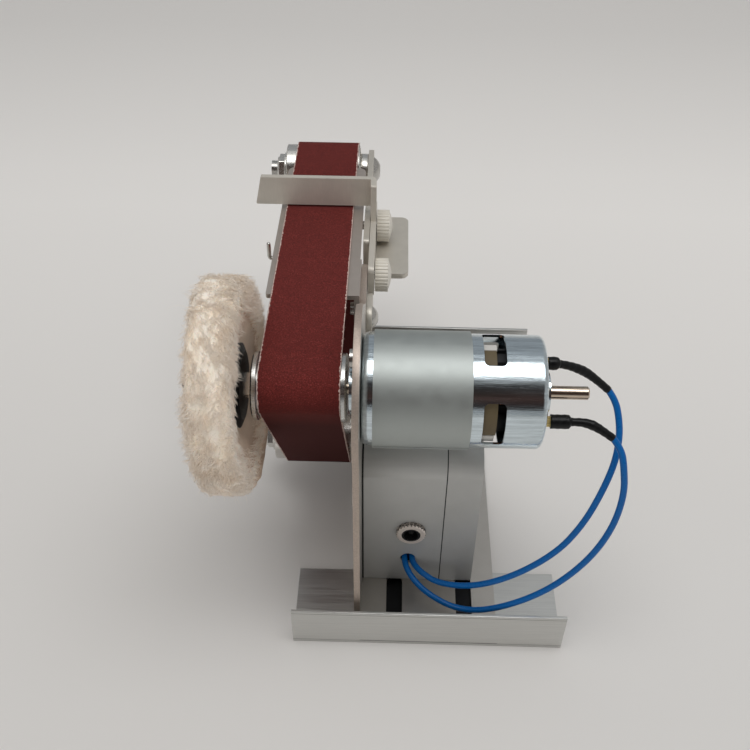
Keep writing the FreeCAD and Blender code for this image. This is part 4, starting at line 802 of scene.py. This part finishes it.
class SANDER_OT_dress_belt(bpy.types.Operator):
    """Sandpaper finish on the belt and loose threads at its cut edges"""
    bl_idname = "sander.dress_belt"
    bl_label = "Dress the belt"

    def execute(self, context):
        colours = context.scene.sander_colours
        paint(grit_belt("belt_grit", colours.grit, colours.cloth), "abrasive_belt")
        threads = moulded("belt_threads", colours.cloth, 0.8)
        self.make_threads(threads, context.scene.sander_sizes.thread_count)
        return {"FINISHED"}

    def make_threads(self, material, count):
        """Short frayed threads along both cut edges of the belt."""
        low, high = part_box("abrasive_belt")
        source = np.random.default_rng(11)
        line = self.belt_line()
        roots = []
        tips = []
        for edge, side in ((low.x, -1), (high.x, 1)):
            for index in source.integers(0, len(line) - 1, count):
                place, normal = line[index]
                along = (line[index + 1][0] - place).normalized()
                drop, out, slide, lift = source.normal(0, 1, 4)
                root = Vector((edge - side * 0.15 * MM, 0, 0)) + place - normal * abs(drop) * 0.25 * MM
                roots.append(root + along * source.uniform(0, 1) * MM)
                tips.append(roots[-1] + Vector((side * (0.25 + 0.22 * abs(out)) * MM, 0, 0))
                            + along * slide * 0.8 * MM + normal * lift * 0.15 * MM)
        roots = np.array(roots)
        thick = np.full(len(roots), 0.09 * MM)
        threads = strand_mesh(roots, np.array(tips), np.zeros_like(roots), thick, rings=2)
        mesh_piece("belt_threads", threads, material, "root")

    def belt_line(self):
        """Places, a millimetre apart, and outward directions along the belt's outer face."""
        low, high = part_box("upper_roller")
        radius = (high.z - low.z) / 2
        wheels = []
        for joint, wall in (("spindle_turn", radius * DRIVE_SHARE), ("upper_idler_turn", radius),
                            ("lower_idler_turn", radius)):
            centre = Vector(joints[joint]["pos_m"])
            centre.x = 0
            wheels.append((centre, wall + BELT_GAP + BELT_THICKNESS))
        middle = sum((centre for centre, wall in wheels), Vector()) / 3
        spans = [(*wheels[i], *wheels[(i + 1) % 3]) for i in range(3)]
        normals = []
        for start, start_r, end, end_r in spans:
            along = (end - start).normalized()
            side = Vector((0, -along.z, along.y))
            if side.dot(start - middle) < 0:
                side = -side
            lean = (start_r - end_r) / (end - start).length
            normals.append(along * lean + side * math.sqrt(1 - lean * lean))
        line = []
        for i, (start, start_r, end, end_r) in enumerate(spans):
            here, after = normals[i], normals[(i + 1) % 3]
            first = start + here * start_r
            last = end + here * end_r
            count = int((last - first).length / MM)
            line += [(first.lerp(last, k / count), here) for k in range(count)]
            count = max(2, int(here.angle(after) * end_r / MM))
            turned = [here.slerp(after, k / count) for k in range(count)]
            line += [(end + normal * end_r, normal) for normal in turned]
        return line


class SANDER_OT_dress_box(bpy.types.Operator):
    """Grey box, power socket, speed knob, switch and the board inside"""
    bl_idname = "sander.dress_box"
    bl_label = "Dress the control box"

    def execute(self, context):
        colours = context.scene.sander_colours
        edge = context.scene.sander_sizes.edge_round
        paint(self.satin_shell(colours.box), "box_cover", "box_lid")
        paint(self.knurled_nickel(colours.nickel), "jack_nut", "potentiometer")
        black = moulded("socket_black", colours.black, 0.3)
        paint(black, "jack_body", "speed_knob", "switch_body", "switch_rocker")
        paint(moulded("board_green", (0.02, 0.16, 0.06), 0.35), "circuit_board")
        paint(moulded("board_black", (0.03, 0.03, 0.035), 0.4), "board_parts")
        soften_edges(3.2 * edge, "box_cover", "box_lid")
        soften_edges(edge / 2, "jack_nut")
        soften_edges(edge, "switch_rocker", "switch_body")
        return {"FINISHED"}

    def satin_shell(self, base):
        """Satin grey metal, with painted shade along the join of its two halves and beside the frame."""
        look = Look("box_shell", metallic=0.3)
        place = look.axes()
        skin = look.noise(0.25 * MM, detail=2.0)
        seam_shade = look.near(place["X"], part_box("box_lid")[0].x, 0.22 * MM)
        frame_gap_shade = look.math("LESS_THAN", place["X"], 0.7 * MM)
        tone = look.tint(look.noise(12 * MM, detail=4.0), base, 0.9, 1.08)
        # Painted shade: near black in the join of the halves and beside the frame
        tone = look.blend(look.math("MAXIMUM", seam_shade, frame_gap_shade), tone, (0.01, 0.01, 0.01))
        return look.done(tone, look.spread(skin, 0.42, 0.5), skin, 0.003 * MM)

    def knurled_nickel(self, base):
        """Pale plated face with a dark, pitted rim."""
        look = Look("socket_nickel", metallic=0.6)
        rim = look.near(look.axes("Normal")["Y"], 0.0, 0.6)
        pits = look.noise(0.55 * MM, detail=1.0)
        face = look.tint(pits, base, 0.9, 1.05)
        knurl = look.tint(look.spread(pits, 0.0, 1.0, 0.42, 0.58), base, 0.06, 0.75)
        return look.done(look.blend(rim, face, knurl), look.spread(pits, 0.3, 0.42), pits, 0.02 * MM)


class SANDER_OT_make_wool_wheel(bpy.types.Operator):
    """Fleece wheel with its backing, tufts, stray hairs, one loose edge and black hub discs"""
    bl_idname = "sander.make_wool_wheel"
    bl_label = "Make the wool wheel"

    def execute(self, context):
        sizes = context.scene.sander_sizes
        colours = context.scene.sander_colours
        wool = fleece("wool_fleece", colours.wool)
        hide = moulded("wool_hide", colours.hide, 0.7, grain=1.4 * MM, depth=0.3 * MM, spots=0.16)
        self.make_pad(wool, hide)
        self.make_tufts(sizes, wool)
        self.make_wisps(sizes, wool)
        self.make_flap(hide)
        paint(self.ridged_hub(colours.black), "hub_plates")
        return {"FINISHED"}

    def ridged_hub(self, base):
        """Black moulding with two rings round the hub, whose edges carry painted highlights here and there.
        """
        look = Look("hub_black", specular_ior_level=0.1)
        place = look.axes()
        squares = []
        for axis, middle in (("Y", AXIS_Y), ("Z", AXIS_Z)):
            away = look.math("SUBTRACT", place[axis], middle)
            squares.append(look.math("MULTIPLY", away, away))
        radius = look.math("SQRT", look.math("ADD", *squares))
        wobble = look.spread(look.noise(3 * MM), -0.5 * MM, 0.5 * MM)
        at = look.math("ADD", radius, wobble)
        ridge = look.math("MAXIMUM", look.near(at, 9.2 * MM, 0.2 * MM),
                          look.near(at, 12.6 * MM, 0.22 * MM))
        # Painted highlight: pale flecks along the ridges stand in for their shine
        ridge_highlight = look.math("MULTIPLY", ridge, look.spread(look.noise(1.6 * MM), 0.0, 1.0, 0.5, 0.56))
        tone = look.blend(ridge_highlight, toned(base, 0.4), (0.09, 0.088, 0.085))
        return look.done(tone, look.spread(look.noise(0.5 * MM), 0.36, 0.48), ridge, 0.15 * MM)

    def outline(self):
        """Half section of the pad as (x, radius), from the left hub round the rim to the right hub."""
        low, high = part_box("buffing_wheel")
        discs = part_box("hub_plates")
        plate = 2.4 * MM
        rim = (high.z - low.z) / 2
        left = [(2.8 * MM, 21 * MM), (2.4 * MM, 27 * MM), (2.0 * MM, 33 * MM), (2.2 * MM, rim - 3.2 * MM),
                (3.4 * MM, rim - 1.5 * MM), (8.0 * MM, rim - 1.2 * MM)]
        right = [(5.0 * MM, rim - 1.1 * MM), (2.0 * MM, rim - 1.9 * MM), (1.0 * MM, rim - 4.0 * MM),
                 (1.2 * MM, 33 * MM), (2.2 * MM, 27 * MM), (3.4 * MM, 21 * MM)]
        return [(discs[0].x + plate, 7 * MM), (discs[0].x + plate, 17 * MM),
                *((low.x + inset, radius) for inset, radius in left),
                *((high.x - inset, radius) for inset, radius in right),
                (discs[1].x - plate, 17.4 * MM), (discs[1].x - plate, 7 * MM)]

    def make_pad(self, wool, hide):
        """Closed body of the wheel; its last rows, on the right, are hide."""
        section = self.outline()
        steps = 180
        first_hide_row = 11
        angle = np.linspace(0, CIRCLE, steps, endpoint=False)
        points = []
        for row, (x, radius) in enumerate(section):
            share = min(1.0, max(0.0, (radius - HUB_RADIUS) / (20 * MM)))
            swell = waves(angle, 9, 40 + row // 4) * 0.55 * MM * share
            shift = waves(angle, 7, 60 + row // 3) * 0.35 * MM * share + wheel_lean(angle, radius)
            points += [round_axis(x + t, radius + s, a) for a, s, t in zip(angle, swell, shift)]
        shape = (points, grid_faces(len(section), steps, len(section), steps))
        piece = mesh_piece("wool_pad", shape, wool, "drive_spindle")
        piece.data.materials.append(hide)
        for face in piece.data.polygons:
            face.material_index = int(face.index // steps >= first_hide_row)
        subdivide = piece.modifiers.new("smooth", "SUBSURF")
        subdivide.levels = subdivide.render_levels = 1
        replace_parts(piece, "buffing_wheel")

    def rim_frame(self, rows, count, source):
        """Random places on the pad between rows, with their outward, round and axial directions."""
        steps = np.linalg.norm(np.diff(rows, axis=0), axis=1) * rows[:-1, 1]
        segment = source.choice(len(steps), count, p=steps / steps.sum())
        share = source.uniform(0, 1, (count, 1))
        at = rows[segment] * (1 - share) + rows[segment + 1] * share
        tangent = unit(rows[segment + 1] - rows[segment])
        angle = source.uniform(0, CIRCLE, count)
        zero = np.zeros(count)
        radial = np.stack([zero, -np.sin(angle), np.cos(angle)], axis=1)
        sweep = np.stack([zero, -np.cos(angle), -np.sin(angle)], axis=1)
        axial = np.array([[1.0, 0, 0]])
        at[:, 0] += wheel_lean(angle, at[:, 1])
        root = np.array([0, AXIS_Y, AXIS_Z]) + axial * at[:, :1] + radial * at[:, 1:]
        out = -axial * tangent[:, 1:] + radial * tangent[:, :1]
        return root, out, sweep, axial, angle

    def belt_side(self):
        """Farthest right that the wool reaches, so that it turns clear of the belt."""
        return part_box("abrasive_belt")[0].x - 1.6 * MM

    def make_tufts(self, sizes, wool):
        """Matted tufts combed round the wheel, with fibres that lie almost flat."""
        source = np.random.default_rng(7)
        count = sizes.tuft_count
        locks = sizes.locks
        root, out, sweep, axial, angle = self.rim_frame(np.array(self.outline())[2:13], count, source)
        turn = waves(angle, 8, 3)[:, None] * 0.5 + source.normal(0, 0.45, (count, 1))
        rise = source.uniform(0.04, 0.26, (count, 1))
        way = unit(out * rise + sweep * np.cos(turn) + axial * (np.sin(turn) + 0.25))
        reach = sizes.tuft_length * source.uniform(0.5, 1.15, (count, 1))
        spread = source.normal(0, 1.0 * MM, (count * locks, 3))
        tips = np.repeat(root + way * reach, locks, axis=0) + spread * 0.45
        flat = np.repeat(out, locks, axis=0)
        spread -= flat * np.sum(spread * flat, axis=1, keepdims=True)
        roots = np.repeat(root, locks, axis=0) + spread * 1.2 - flat * 0.5 * MM
        sag = flat * source.uniform(0.1 * MM, 0.6 * MM, (count * locks, 1))
        sag += source.normal(0, 0.2 * MM, (count * locks, 3))
        thick = sizes.tuft_radius * source.uniform(0.6, 1.2, count * locks)
        for ends in (roots, tips):
            ends[:, 0] = np.minimum(ends[:, 0], self.belt_side())
        mesh_piece("wool_tufts", strand_mesh(roots, tips, sag, thick), wool, "drive_spindle")

    def make_wisps(self, sizes, wool):
        """Single hairs that stand out, and a ragged fringe along the right edge."""
        source = np.random.default_rng(23)
        rows = np.array(self.outline())
        root, out, sweep, axial, angle = self.rim_frame(rows[3:10], sizes.wisps, source)
        each = (len(root), 1)
        way = out + sweep * source.normal(0.3, 0.6, each) + axial * source.normal(0, 0.5, each)
        tip = root + way * source.uniform(3.0 * MM, 6.5 * MM, each)
        sag = source.normal(0, 1.0 * MM, (len(root), 3))
        edge, out, sweep, axial, angle = self.rim_frame(rows[8:11], sizes.fringe, source)
        each = (len(edge), 1)
        ragged = 1.0 + 0.6 * waves(angle, 14, 5)[:, None]
        fringe = out * 0.55 + axial * 0.5 + sweep * source.normal(0.2, 0.4, each)
        end = edge + fringe * ragged * source.uniform(0.7 * MM, 2.1 * MM, each)
        bend = source.normal(0, 0.3 * MM, (len(edge), 3))
        tips = np.concatenate([tip, end])
        tips[:, 0] = np.minimum(tips[:, 0], self.belt_side())
        thick = np.repeat([0.06 * MM, sizes.tuft_radius], [len(root), len(edge)])
        hairs = strand_mesh(np.concatenate([root, edge]), tips, np.concatenate([sag, bend]), thick, rings=4)
        mesh_piece("wool_wisps", hairs, wool, "drive_spindle")

    def make_flap(self, hide):
        """Loose ragged edge of the hide, low on the wheel's right rim."""
        rows = 6
        steps = 61
        arc = (140, 225)
        reach = 4.6 * MM
        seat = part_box("buffing_wheel")[1].x - 1.6 * MM
        angle = np.radians(np.linspace(*arc, steps))
        fade = np.sin(np.linspace(0, math.pi, steps)) ** 0.5
        torn = 1.0 + 0.22 * waves(angle * 6, 9, 31)
        points = []
        for share in np.linspace(0, 1, rows):
            x = np.minimum(seat + share * reach * fade * torn, self.belt_side())
            radius = 37.5 * MM + 1.6 * MM * share + 0.5 * MM * waves(angle * 4, 6, 32) * share
            points += [round_axis(*place) for place in zip(x, radius, angle)]
        shape = (points, grid_faces(rows, steps, rows - 1, steps - 1))
        piece = mesh_piece("hide_flap_low", shape, hide, "drive_spindle")
        thick = piece.modifiers.new("thickness", "SOLIDIFY")
        thick.thickness = 0.9 * MM
        thick.offset = 0


class SANDER_PT_panel(bpy.types.Panel):
    """Lists the steps that dress the sander"""
    bl_idname = "SANDER_PT_panel"
    bl_label = "Mini belt sander"
    bl_space_type = "VIEW_3D"
    bl_region_type = "UI"
    bl_category = "Sander"

    def draw(self, context):
        for step in STEPS:
            self.layout.operator(step.bl_idname)
        for name in GROUPS:
            group = getattr(context.scene, name)
            column = self.layout.column()
            for key in group.__annotations__:
                column.prop(group, key)


GROUPS = {"sander_sizes": SanderSizes, "sander_colours": SanderColours, "sander_studio": StudioSettings}
STEPS = [SANDER_OT_set_stage, SANDER_OT_make_leads, SANDER_OT_dress_frame, SANDER_OT_dress_arm,
         SANDER_OT_dress_rollers, SANDER_OT_dress_motor, SANDER_OT_dress_belt, SANDER_OT_dress_box,
         SANDER_OT_make_wool_wheel]
CLASSES = [*GROUPS.values(), *STEPS, SANDER_PT_panel]


def register():
    for each in CLASSES:
        bpy.utils.register_class(each)
    for name, group in GROUPS.items():
        setattr(bpy.types.Scene, name, PointerProperty(type=group))


def unregister():
    for name in GROUPS:
        delattr(bpy.types.Scene, name)
    for each in reversed(CLASSES):
        bpy.utils.unregister_class(each)


def main():
    """Dress the whole sander."""
    register()
    bpy.ops.sander.set_stage()
    bpy.ops.sander.make_leads()
    bpy.ops.sander.dress_frame()
    bpy.ops.sander.dress_arm()
    bpy.ops.sander.dress_rollers()
    bpy.ops.sander.dress_motor()
    bpy.ops.sander.dress_belt()
    bpy.ops.sander.dress_box()
    bpy.ops.sander.make_wool_wheel()


if __name__ == "__main__":
    main()
